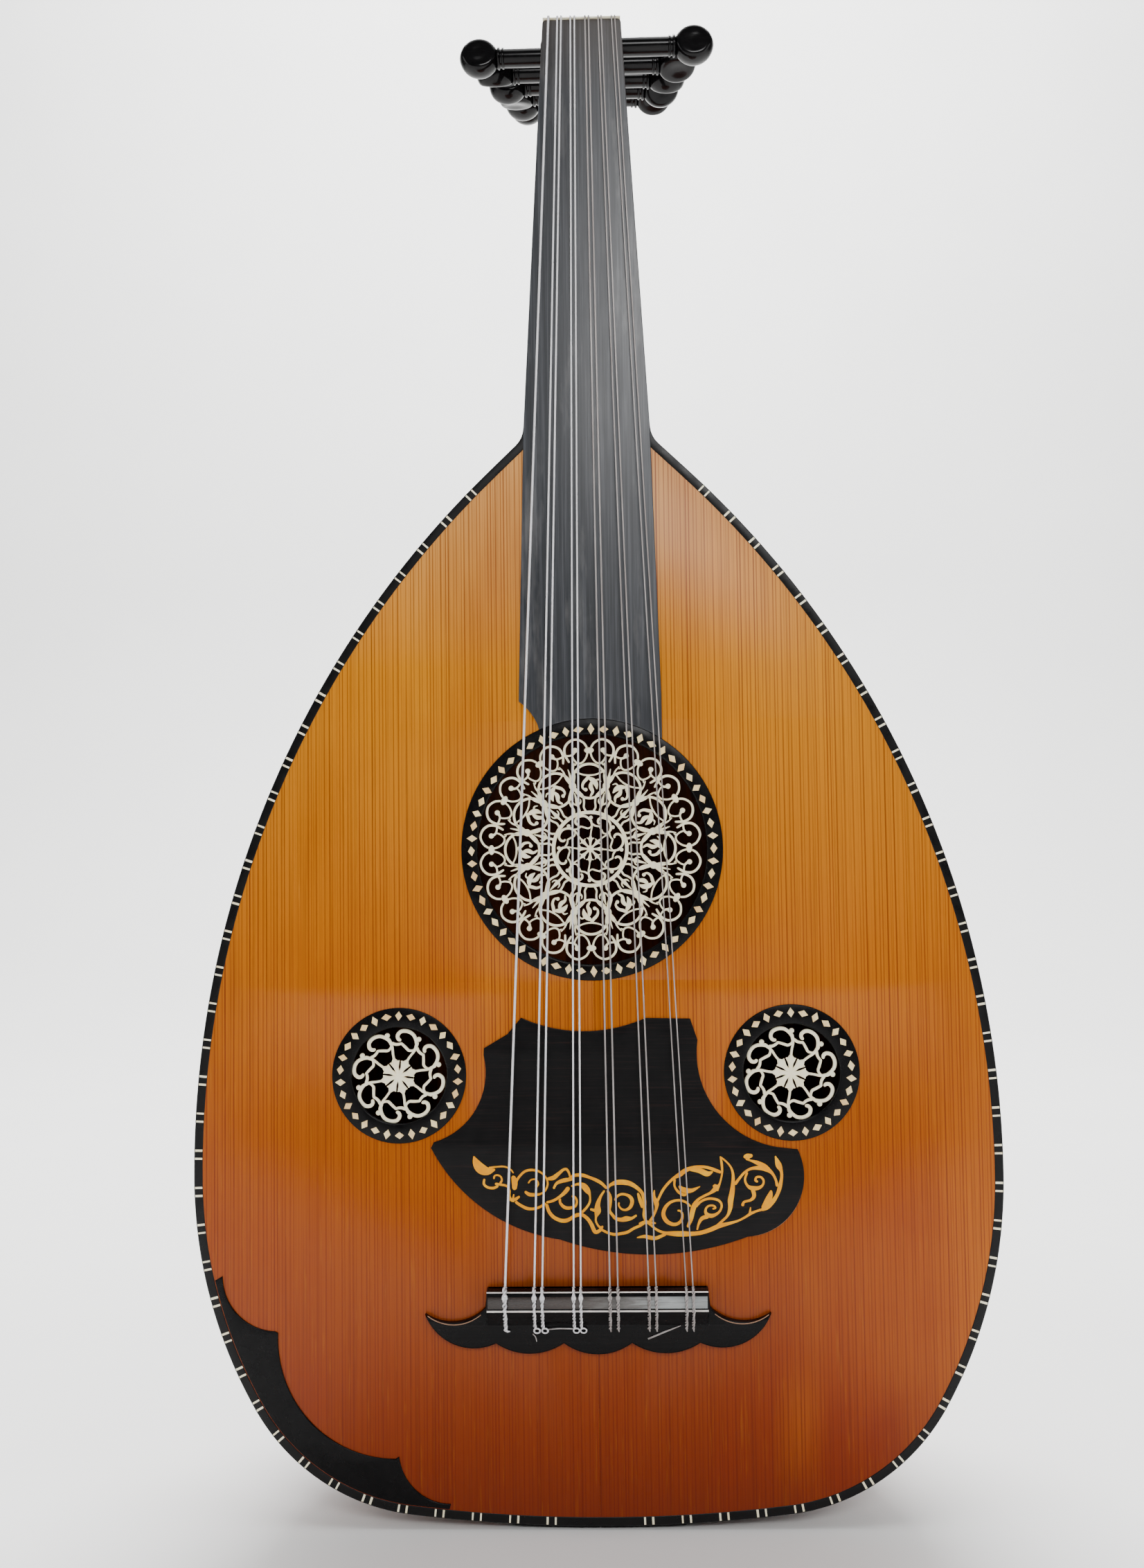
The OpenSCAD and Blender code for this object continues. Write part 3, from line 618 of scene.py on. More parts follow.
def neck_finish():
    f = Finish("dark_neck_wood", Specular_IOR_Level=0.25, Coat_Weight=0.1, Coat_Roughness=0.2)
    g = f.noise((240, 240, 6), detail=5, rough=0.7, distortion=0.6)
    body = f.ramp(g, (0.3, srgb(28, 19, 16)), (0.55, srgb(50, 33, 26)), (0.8, srgb(72, 46, 34)))
    body = f.mix(body, srgb(14, 10, 9), f.span(f.noise((1500, 1500, 40)), 0.55, 0.75, 0.0, 0.6))
    f.colour(body)
    f.roughness(f.span(g, 0.3, 0.8, 0.28, 0.4))
    f.bump(g, 0.1, 0.0001)
    return f.material


def bone_finish(name, light, dark, rough=0.42):
    """Cut bone or plastic: cream, with slight clouding, darker pores and a tone of its own for each inlay."""
    f = Finish(name, Specular_IOR_Level=0.5, Subsurface_Weight=0.08,
               Subsurface_Radius=(0.002, 0.0012, 0.0007))
    body = f.mix(light, dark, f.span(f.noise((260, 260, 260), detail=4), 0.35, 0.75, 0.0, 0.6))
    body = f.mix(body, dark, f.span(f.tone(), 0.5, 1.0, 0.0, 0.8))
    body = f.mix(body, srgb(120, 84, 44), f.span(f.noise((1400, 1400, 500), detail=2), 0.68, 0.8, 0.0, 0.5))
    f.colour(body)
    f.roughness(f.span(f.noise((500, 500, 500)), 0.3, 0.7, rough - 0.08, rough + 0.1))
    f.bump(f.noise((900, 900, 900), detail=2), 0.15, 0.00006)
    return f.material


def yellow_finish():
    f = Finish("yellow_vine_inlay", Specular_IOR_Level=0.1)
    cloud = f.noise((160, 160, 160), detail=4)
    body = f.ramp(cloud, (0.3, srgb(226, 142, 0)), (0.52, srgb(234, 156, 0)), (0.72, srgb(240, 178, 24)))
    body = f.mix(body, srgb(196, 128, 20), f.span(f.noise((420, 420, 420), detail=3), 0.6, 0.8, 0.0, 0.6))
    f.colour(body)
    f.roughness(f.span(cloud, 0.3, 0.7, 0.35, 0.5))
    f.bump(f.noise((1100, 1100, 1100)), 0.12, 0.00005)
    return f.material


def spruce_finish():
    f = Finish("raw_spruce", Specular_IOR_Level=0.3)
    g = f.wave((5, 260, 260), direction="Z", distortion=2.0, detail=3)
    body = f.ramp(g, (0.2, srgb(206, 172, 116)), (0.8, srgb(176, 134, 78)))
    body = f.mix(body, srgb(150, 108, 62), f.span(f.noise((12, 300, 300)), 0.55, 0.8, 0.0, 0.5))
    f.colour(body)
    f.roughness(f.span(g, 0.0, 1.0, 0.55, 0.7))
    f.bump(g, 0.15, 0.0001)
    return f.material


def wound_finish():
    """Silver winding over a silk core: fine turns across the strand."""
    f = Finish("silver_wound_string", Metallic=0.55, Specular_IOR_Level=0.6)
    turns = f.wave((900, 900, 900), direction="Z", distortion=0.3, detail=1)
    body = f.ramp(turns, (0.2, srgb(196, 194, 198)), (0.8, srgb(240, 240, 242)))
    body = f.mix(body, srgb(206, 164, 128), f.math("MULTIPLY", f.span(f.tone(), 0.6, 1.0), 0.6))
    f.colour(body)
    f.roughness(f.span(f.noise((400, 400, 60)), 0.3, 0.7, 0.24, 0.4))
    f.bump(turns, 0.3, 0.00006)
    return f.material


def nylon_finish():
    f = Finish("clear_nylon_string", Specular_IOR_Level=0.6, Transmission_Weight=0.45, IOR=1.5)
    body = f.mix(srgb(206, 200, 198), srgb(168, 158, 154), f.span(f.noise((300, 300, 20)), 0.35, 0.7))
    f.colour(body)
    f.roughness(f.span(f.noise((200, 200, 40)), 0.3, 0.7, 0.14, 0.26))
    f.bump(f.noise((800, 800, 60)), 0.1, 0.00004)
    return f.material


def band_painted_reflection_finish():
    """Polished top of the tie block: brown-grey, with a painted reflection that pales it to grey towards the
    treble side.
    """
    f = Finish("tie_block_band_painted_reflection", Specular_IOR_Level=0.4, Coat_Weight=0.2, Coat_Roughness=0.08)
    # painted reflection: the colour runs from brown-grey to pale grey along X, where the polished band
    # mirrors the bright surroundings on the right
    along = f.span(f.axis("X"), -0.045, 0.05)
    painted_reflection_drift = f.math("ADD", along, f.span(f.noise((60, 60, 500), detail=4), 0.3, 0.7, -0.12, 0.12))
    body = f.ramp(painted_reflection_drift, (0.0, srgb(34, 24, 20)), (0.4, srgb(52, 42, 38)), (0.62, srgb(96, 94, 92)),
                  (0.8, srgb(150, 154, 154)), (1.0, srgb(130, 134, 134)))
    body = f.mix(body, srgb(46, 36, 34), f.span(f.noise((25, 400, 1400), detail=3), 0.55, 0.8, 0.0, 0.6))
    f.colour(body)
    f.roughness(f.span(f.noise((90, 300, 900)), 0.3, 0.7, 0.16, 0.32))
    f.bump(f.noise((40, 400, 1500)), 0.1, 0.00005)
    return f.material


SOUNDBOARD = soundboard_finish()
RIBS = rib_finish()
SPRUCE = spruce_finish()
NECK_WOOD = neck_finish()
FINGER_WOOD = fingerboard_finish()
EBONY = black_finish("ebony_bridge", grain=(30, 300, 1500), rough=0.26, streaks=0.12)
BINDING_BLACK = black_finish("black_binding", grain=(120, 120, 120), rough=0.3, gloss=0.2)
PEG_BLACK = black_finish("polished_peg", grain=(70, 500, 500), rough=0.14, gloss=0.16, coat=0.08)
PLATE_BLACK = black_finish("black_plate", grain=(200, 200, 200), rough=0.26)
GUARD_WOOD = black_finish("pickguard_wood", grain=(26, 300, 1300), rough=0.36, lift=3, streaks=0.6)
BONE = bone_finish("cream_tracery", srgb(255, 248, 218), srgb(246, 228, 180))
DIAMOND = bone_finish("cream_diamonds", srgb(252, 232, 176), srgb(222, 168, 92))
IVORY = bone_finish("bone_nut", srgb(244, 238, 214), srgb(222, 206, 160))
LINE_WHITE = bone_finish("pale_line", srgb(226, 220, 214), srgb(190, 178, 172), rough=0.3)
# pale brown for thin strips along bevelled edges: a painted edge highlight
EDGE_PAINTED_HIGHLIGHT = bone_finish("brown_painted_edge_highlight", srgb(150, 112, 84), srgb(92, 60, 44), rough=0.4)
YELLOW = yellow_finish()
WOUND = wound_finish()
NYLON = nylon_finish()
BAND_PAINTED_REFLECTION = band_painted_reflection_finish()

# ---------- soundboard, binding and ticks ----------


def build_soundboard():
    main_cut = circle(0, MAIN_Z, MAIN_R - 0.4, 160)
    for side, name in ((-1, "left"), (1, "right")):
        edge = fitted_outline(BINDING_W - 0.5)
        seam = 0.03
        half = [(seam, edge[0][1])] + [tuple(p) for p in edge] + [(seam, edge[-1][1])]
        # the main rosette's cut takes a bite out of the seam edge
        cut_r = MAIN_R - 0.4
        half += [(seam, MAIN_Z + cut_r)] + [p for p in sorted(main_cut, key=lambda p: -p[1])
                                            if p[0] > seam + 0.5]
        half += [(seam, MAIN_Z - cut_r)]
        half = anticlockwise([(side * x, z) for x, z in half])
        hole = clockwise(circle(side * SMALL_X, SMALL_Z, SMALL_R - 0.4, 110))
        s = Shape()
        s.slab([half, hole], 0, BOARD_FRONT, 0.04, facing, steps=2)
        s.piece(f"spruce_top_{name}", SOUNDBOARD, "soundboard", replaces=[f"soundboard_{name}"])


def build_binding():
    outer, inner = fitted_outline(0), fitted_outline(BINDING_W)
    loop = list(outer) + list(inner[::-1]) + list(mirror(inner)) + list(mirror(outer)[::-1])
    s = Shape()
    s.slab([anticlockwise(loop)], 0, BINDING_FRONT, 0.55, facing)
    s.piece("black_edge_binding", BINDING_BLACK, "ebony", replaces=["edge_binding"])
    pitch, gap, first, tick_w, proud = 17.0, 3.7, 14.0, 0.9, 0.12
    rows = half_outline(0, 0.5)
    rows[:, 0] *= HALF_W / rows[:, 0].max()
    length = np.concatenate([[0], np.cumsum(np.linalg.norm(np.diff(rows, axis=0), axis=1))])
    s = Shape()
    for side in (-1, 1):
        at = first
        while at < length[-1] - 38:
            for twin in (0, gap):
                p = np.array([np.interp(at + twin, length, rows[:, k]) for k in (0, 1)])
                q = np.array([np.interp(at + twin + 0.5, length, rows[:, k]) for k in (0, 1)])
                way = (q - p) / np.linalg.norm(q - p)
                inward = np.array([-way[1], way[0]])
                wide = tick_w * DICE.uniform(0.85, 1.15)
                near, deep = 0.5, BINDING_W - 0.35
                quad = [p + inward * near - way * wide / 2, p + inward * near + way * wide / 2,
                        p + inward * deep + way * wide / 2, p + inward * deep - way * wide / 2]
                quad = anticlockwise([(side * x, z) for x, z in quad])
                s.slab([quad], -1.0, BINDING_FRONT - proud, 0.1, facing, steps=2, tone=DICE.uniform(0, 0.8))
            at += pitch
    s.piece("white_binding_ticks", BONE, "cream_inlay", replaces=["binding_ticks"])


def build_corner_guard():
    inset = fitted_outline(BINDING_W + 0.15)
    top = (-146.5, 112.0)
    low_x = -67.5
    side = [(-x, z) for x, z in inset if z < top[1] and x > -low_x]
    scallops = (arc(*top, 25, 180, 268, 18) + arc(-92.5, 83.5, 53.5, 177, 270, 30)
                + arc(low_x, 33.5, 23.5, 186, 270, 18))
    s = Shape()
    s.slab([anticlockwise(side + scallops)], BOARD_FRONT, CORNER_FRONT, 0.5, facing)
    s.piece("black_corner_plate", PLATE_BLACK, "black_plate", replaces=["corner_guard"])


# ---------- bowl ----------


def build_bowl():
    outer, inner = fitted_outline(0), fitted_outline(RIB_T)
    run = np.concatenate([[0], np.cumsum(np.linalg.norm(np.diff(outer, axis=0), axis=1))])
    across, flat, seam_drop = 10, 0.0036, 0.0009
    step = math.pi / RIB_COUNT
    for i in range(RIB_COUNT):
        verts, uv = [], []
        for j in range(across + 1):
            t = 2 * j / across - 1
            a = step * (i + (t + 1) / 2)
            dip = 1 - flat * (1 - t * t) - (seam_drop if abs(t) == 1 else 0)
            for k, (r, z) in enumerate(outer):
                verts.append((r * dip * math.cos(a), r * dip * math.sin(a), z))
                uv.append((run[k] * MM + i * 0.77, (r * step / 2 * t) * MM + i * 0.31))
        for j in range(across, -1, -1):
            a = step * (i + j / across)
            for r, z in inner:
                verts.append((r * math.cos(a), r * math.sin(a), z))
                uv.append((z * MM + i * 0.77, r * step * j / across * MM))
        rows, n = 2 * (across + 1), len(outer)
        faces = [(j * n + k, j * n + k + 1, (j + 1) % rows * n + k + 1, (j + 1) % rows * n + k)
                 for j in range(rows) for k in range(n - 1)]
        faces += [tuple(j * n for j in range(rows)), tuple(j * n + n - 1 for j in range(rows))]
        s = Shape()
        s.add(verts, faces, True, uv, tone=DICE.uniform(0.15, 0.85))
        name = f"{i + 1:02d}"
        s.piece(f"bowl_rib_{name}", RIBS, "rosewood_ribs", replaces=[f"rib_{name}"], sharp=45)
    # pale lines let in between the ribs
    s = Shape()
    half_w = 0.35
    for i in range(1, RIB_COUNT):
        a = step * i
        verts = []
        for r, z in outer[2:-2]:
            for side, dr in ((-1, -1.2), (-1, 0.0), (0, 0.04), (1, 0.0), (1, -1.2)):
                d = (r + dr) * (1 - seam_drop * 0.6)
                verts.append((d * math.cos(a) - side * half_w * math.sin(a),
                              d * math.sin(a) + side * half_w * math.cos(a), z))
        n = len(verts) // 5
        faces = [(k * 5 + m, k * 5 + (m + 1) % 5, k * 5 + 5 + (m + 1) % 5, k * 5 + 5 + m)
                 for k in range(n - 1) for m in range(5)]
        faces += [tuple(range(5)), tuple(range((n - 1) * 5, n * 5))]
        s.add(verts, faces)
    s.piece("bowl_seam_lines", LINE_WHITE, "bone")


def build_clasp():
    """Dark end piece over the rib ends, its edge cut in shallow scallops."""
    reach, lobes, n_r, n_a = 46.0, 9, 26, 90
    drop = -CLASP_LOW
    verts, faces = [], []
    for skin in (0, 1):
        for j in range(n_a + 1):
            a = math.pi * j / n_a
            edge = reach * (0.9 + 0.1 * abs(math.sin(a * lobes)))
            for k in range(n_r + 1):
                share = k / n_r
                r = 0.4 + (edge - 0.4) * share
                base = TAIL_R - math.sqrt(TAIL_R ** 2 - r * r)
                lift = drop * (1 - 0.9 * max(0.0, (share - 0.93) / 0.07) ** 2)
                verts.append((r * math.cos(a), max(r * math.sin(a), 0.0),
                              base - (lift if skin == 0 else 0.0)))
    row, skin_n = n_r + 1, (n_a + 1) * (n_r + 1)
    for base in (0, skin_n):
        faces += [(base + j * row + k, base + j * row + k + 1, base + (j + 1) * row + k + 1,
                   base + (j + 1) * row + k)
                  for j in range(n_a) for k in range(n_r)]
    rim = ([j * row + n_r for j in range(n_a + 1)] + [n_a * row + k for k in range(n_r - 1, -1, -1)]
           + [j * row for j in range(n_a - 1, -1, -1)] + [k for k in range(1, n_r)])
    faces += [(rim[i], rim[(i + 1) % len(rim)], rim[(i + 1) % len(rim)] + skin_n, rim[i] + skin_n)
              for i in range(len(rim))]
    s = Shape()
    s.add(verts, faces)
    s.piece("tail_end_clasp", EBONY, "ebony", replaces=["end_clasp"])


# ---------- rosettes ----------


def rose_ring(name, x, z, r_out, r_in, replaces):
    f, b = ROSE_FRONT, 0.0
    profile = [(r_out, b), (r_out, f + 0.25), (r_out - 0.08, f + 0.08), (r_out - 0.25, f),
               (r_in + 0.9, f), (r_in + 0.5, f + 0.08), (r_in + 0.15, f + 0.35), (r_in, f + 0.75), (r_in, b)]
    s = Shape()
    s.lathe(profile, lambda u, v, h: (x + u, h, z + v), 180)
    s.piece(name, PLATE_BLACK, "ebony", replaces=replaces, sharp=50)


def rose_diamonds(s, x, z, r, count, length, width):
    for k in range(count):
        stretch = DICE.uniform(0.92, 1.08)
        rows = [(0, -length / 2 * stretch), (width / 2, DICE.uniform(-0.15, 0.15)), (0, length / 2 * stretch),
                (-width / 2, DICE.uniform(-0.15, 0.15))]
        rows = turned(rows, (k % 2) * 90 + DICE.uniform(-7, 7))
        rows = [(u, v + r) for u, v in rows]
        rows = anticlockwise(turned(rows, k * 360 / count, (x, z)))
        s.slab([rows], -1.5, ROSE_FRONT - 0.13, 0.08, facing, steps=2, tone=DICE.uniform(0.1, 0.9))


def polar(r, degrees):
    a = math.radians(degrees)
    return (r * math.sin(a), r * math.cos(a))


class Tracery:
    """Cut strips and buttons of one rosette, in its own plane; 0 degrees is up, turns run clockwise."""

    def __init__(self, centre, turn, dome, size=1.0):
        self.shape, self.centre, self.turn, self.dome, self.size = Shape(), centre, turn, dome, size
        self.slim, self.count = 1.0, 0

    def level(self):
        """Strips lie at slightly different heights, as cut and filed by hand."""
        self.count += 1
        return TRACERY_FRONT + 0.09 * ((self.count * 7) % 5) / 5

    def strip(self, rows, turn=0.0, closed=False):
        rows = [(u * self.size, v * self.size, width * self.slim) for u, v, width in rows]
        self.shape.ribbon(turned(rows, self.turn + turn, self.centre), self.level(), -0.15, self.dome,
                          closed=closed, tone=DICE.uniform(0.1, 0.6))

    def button(self, r, degrees, size, long=None, turn=0.0):
        x, z = turned([polar(r * self.size, degrees)], self.turn, self.centre)[0]
        size = size * (1 + self.slim) / 2
        long = long and long * (1 + self.slim) / 2
        self.shape.bead(x, z, size, self.level(), -0.15, self.dome, rz=long, turn=self.turn + degrees + turn,
                        tone=DICE.uniform(0.1, 0.5))

    def ring(self, r, width, n=48, at=(0, 0), turn=0.0):
        self.strip([(at[0] + r * math.cos(a), at[1] + r * math.sin(a), width)
                    for a in np.linspace(0, 2 * math.pi, n, endpoint=False)], turn, closed=True)


def rose_wheel(t, scale, turn=0.0, stroke=1.0):
    """Hub with eight arrow petals, stems, garlands between them, outer scrolls and buds."""
    w = stroke
    t.button(0, 0, 2.5 * scale)
    for k in range(8):
        a = turn + k * 45

        def strip(*rows):
            t.strip([(*polar(r * scale, deg + a), width * w) for r, deg, width in rows])

        strip((1.4, 0, 1.6 * scale), (4.0, 0, 2.3 * scale), (6.2, 0, 4.2 * scale), (6.9, 0, 3.0 * scale),
              (8.4, 0, 0.9))
        for side in (-1, 1):
            strip((6.2, side * 5, 1.2), (6.9, side * 17, 0.7), (7.0, side * 20, 0.4))
        strip((7.6, 0, 1.1), (10.5, 1.5, 1.05), (13.5, 3.2, 1.15), (16.2, 1.5, 1.5), (18.0, 0.3, 1.2))
        t.button(19.2 * scale, a, 1.15 * scale ** 0.5)
        strip((16.0, 2.5, 1.4), (18.4, -3.5, 1.5), (20.2, -10, 1.6), (20.9, -18, 1.7), (20.4, -26, 1.7),
              (18.6, -30.5, 1.7), (16.9, -29.5, 1.6), (16.3, -25, 1.3))
        strip((15.6, 3, 1.3), (14.6, 10, 1.3), (14.6, 17, 1.2), (15.2, 22.5, 1.1))
        strip((15.1, 20, 1.1), (14.2, 25, 1.2), (13.3, 31, 1.25), (12.6, 38, 1.2), (13.4, 45, 1.0),
              (14.6, 48, 1.0))


def main_tracery():
    t = Tracery((-0.8, MAIN_Z + 0.1), 0, 0.42, size=0.985)
    inner_r, line = 17.2, 1.15
    t.ring(inner_r, 1.65, 96)
    t.slim = 0.76
    rose_wheel(t, 0.765, turn=2, stroke=0.86)
    for k in range(12):
        a = 30 * k

        def strip(*rows, flip=1):
            """rows are (tangential, radial, width) about the medallion axis."""
            t.strip([(flip * u, v, width) for u, v, width in rows], turn=a)

        # medallion with a lens at its outer side and a leafy spray inside
        t.ring(8.05, line / t.slim, 44, at=(0, 31.9), turn=a)
        strip((-6.4, 36.3, 0.9), (-3.2, 35.0, 1.0), (0, 34.6, 1.1), (3.2, 35.0, 1.0), (6.4, 36.3, 0.9))
        lean = 1 if k % 2 else -1
        strip((0, 34.6, 1.3), (1.3, 32.8, 2.0), (2.9, 31.0, 1.7), (3.2, 28.8, 1.3), (1.9, 27.6, 1.2),
              flip=lean)
        strip((0.3, 33.4, 1.5), (-1.7, 32.2, 3.0), (-3.1, 30.4, 2.8), (-3.5, 28.0, 0.6), flip=lean)
        strip((-1.0, 31.6, 1.4), (-0.6, 29.2, 2.6), (-1.5, 26.8, 1.8), (-0.3, 24.6, 0.9), flip=lean)
        strip((-2.4, 31.8, 1.0), (-4.3, 32.6, 1.0), (-5.6, 31.4, 0.5), flip=lean)
        t.button(27.9, a + lean * 3.6, 0.95)
        # paired scrolls outside, joined by a bud on the medallion axis
        t.button(46.4, a, 1.55, 2.55, turn=90)
        for flip in (-1, 1):
            def scroll(*rows):
                c, s_ = math.cos(math.radians(7.5)), math.sin(math.radians(7.5))
                placed = [(flip * (u * c + (v + 46.4) * s_), -u * s_ + (v + 46.4) * c, width * 0.92)
                          for u, v, width in rows]
                t.strip(placed, turn=a)

            scroll((-5.3, 1.0, 1.4), (-3.9, 3.6, 1.4), (-0.8, 5.5, 1.5), (2.6, 4.9, 1.6), (5.0, 2.6, 1.6),
                   (5.5, -0.6, 1.6), (4.6, -3.4, 1.5), (3.9, -4.9, 1.2))
            scroll((5.2, -1.6, 1.2), (3.2, -1.7, 1.2), (1.6, -1.2, 1.4), (0.6, 0.2, 2.0))
            scroll((2.2, -1.4, 1.1), (1.7, -3.6, 1.1), (0.2, -5.7, 1.2), (-2.0, -5.7, 1.2), (-4.2, -3.6, 1.2),
                   (-5.4, -0.8, 1.3))
            scroll((0.4, -5.4, 1.1), (1.6, -6.6, 0.8))
            x, z = 0.5, 0.5 + 46.4
            t.button(math.hypot(x, z), a + flip * (7.5 + math.degrees(math.atan2(x, z))), 1.35)
        # star of leaves where two medallions touch, and the spray down to the inner ring
        b = a + 15

        def leaf(*rows, flip=1):
            t.strip([(flip * u, v, width) for u, v, width in rows], turn=b)

        t.button(30.6, b, 1.9, 2.2)
        leaf((0, 30.6, 1.8), (0.2, 34.5, 1.5), (0, 38.8, 0.5))
        for flip in (-1, 1):
            leaf((0.3, 31.0, 1.6), (2.0, 34.8, 1.5), (2.4, 38.2, 1.0), (3.7, 40.9, 0.7), flip=flip)
            leaf((0.2, 30.0, 1.4), (1.8, 27.6, 1.5), (3.4, 24.8, 1.3), (3.2, 22.0, 1.2), (2.4, 19.6, 1.2),
                 (2.9, 17.5, 1.2), flip=flip)
        leaf((0, 17.8, 1.6), (0, 20.2, 1.3), (0, 22.2, 2.3), (0, 24.6, 1.4), (0, 27.2, 0.5))
        for flip in (-1, 1):
            leaf((0.3, 21.4, 1.2), (1.7, 22.4, 0.9), (1.9, 23.8, 0.4), flip=flip)
    t.shape.piece("main_rosette_tracery", BONE, "bone", replaces=["main_rose_tracery"], sharp=60)


def small_tracery(side, turn):
    t = Tracery((side * SMALL_X - 0.4, SMALL_Z - 0.4), turn, 0.42)
    rose_wheel(t, 1.0, stroke=1.0)
    name = "left" if side < 0 else "right"
    t.shape.piece(f"small_rosette_tracery_{name}", BONE, "bone", replaces=[f"small_rose_tracery_{name}"],
                  sharp=60)


def build_rosettes():
    rose_ring("main_rosette_ring", 0, MAIN_Z, MAIN_R, MAIN_HOLE, ["main_rose_ring"])
    s = Shape()
    rose_diamonds(s, 0.2, MAIN_Z - 0.3, 55.9, 60, 4.9, 3.2)
    s.piece("main_rosette_diamonds", DIAMOND, "cream_inlay", replaces=["main_rose_diamonds"])
    main_tracery()
    s = Shape()
    for side, name, turn in ((-1, "left", -15.5), (1, "right", 2.5)):
        rose_ring(f"small_rosette_ring_{name}", side * SMALL_X, SMALL_Z, SMALL_R, SMALL_HOLE,
                  [f"small_rose_ring_{name}"])
        rose_diamonds(s, side * SMALL_X, SMALL_Z, 27.2, 30, 4.6, 3.2)
        small_tracery(side, turn)
    s.piece("small_rosette_diamonds", DIAMOND, "cream_inlay", replaces=["small_rose_diamonds"])


# ---------- pickguard and vine ----------

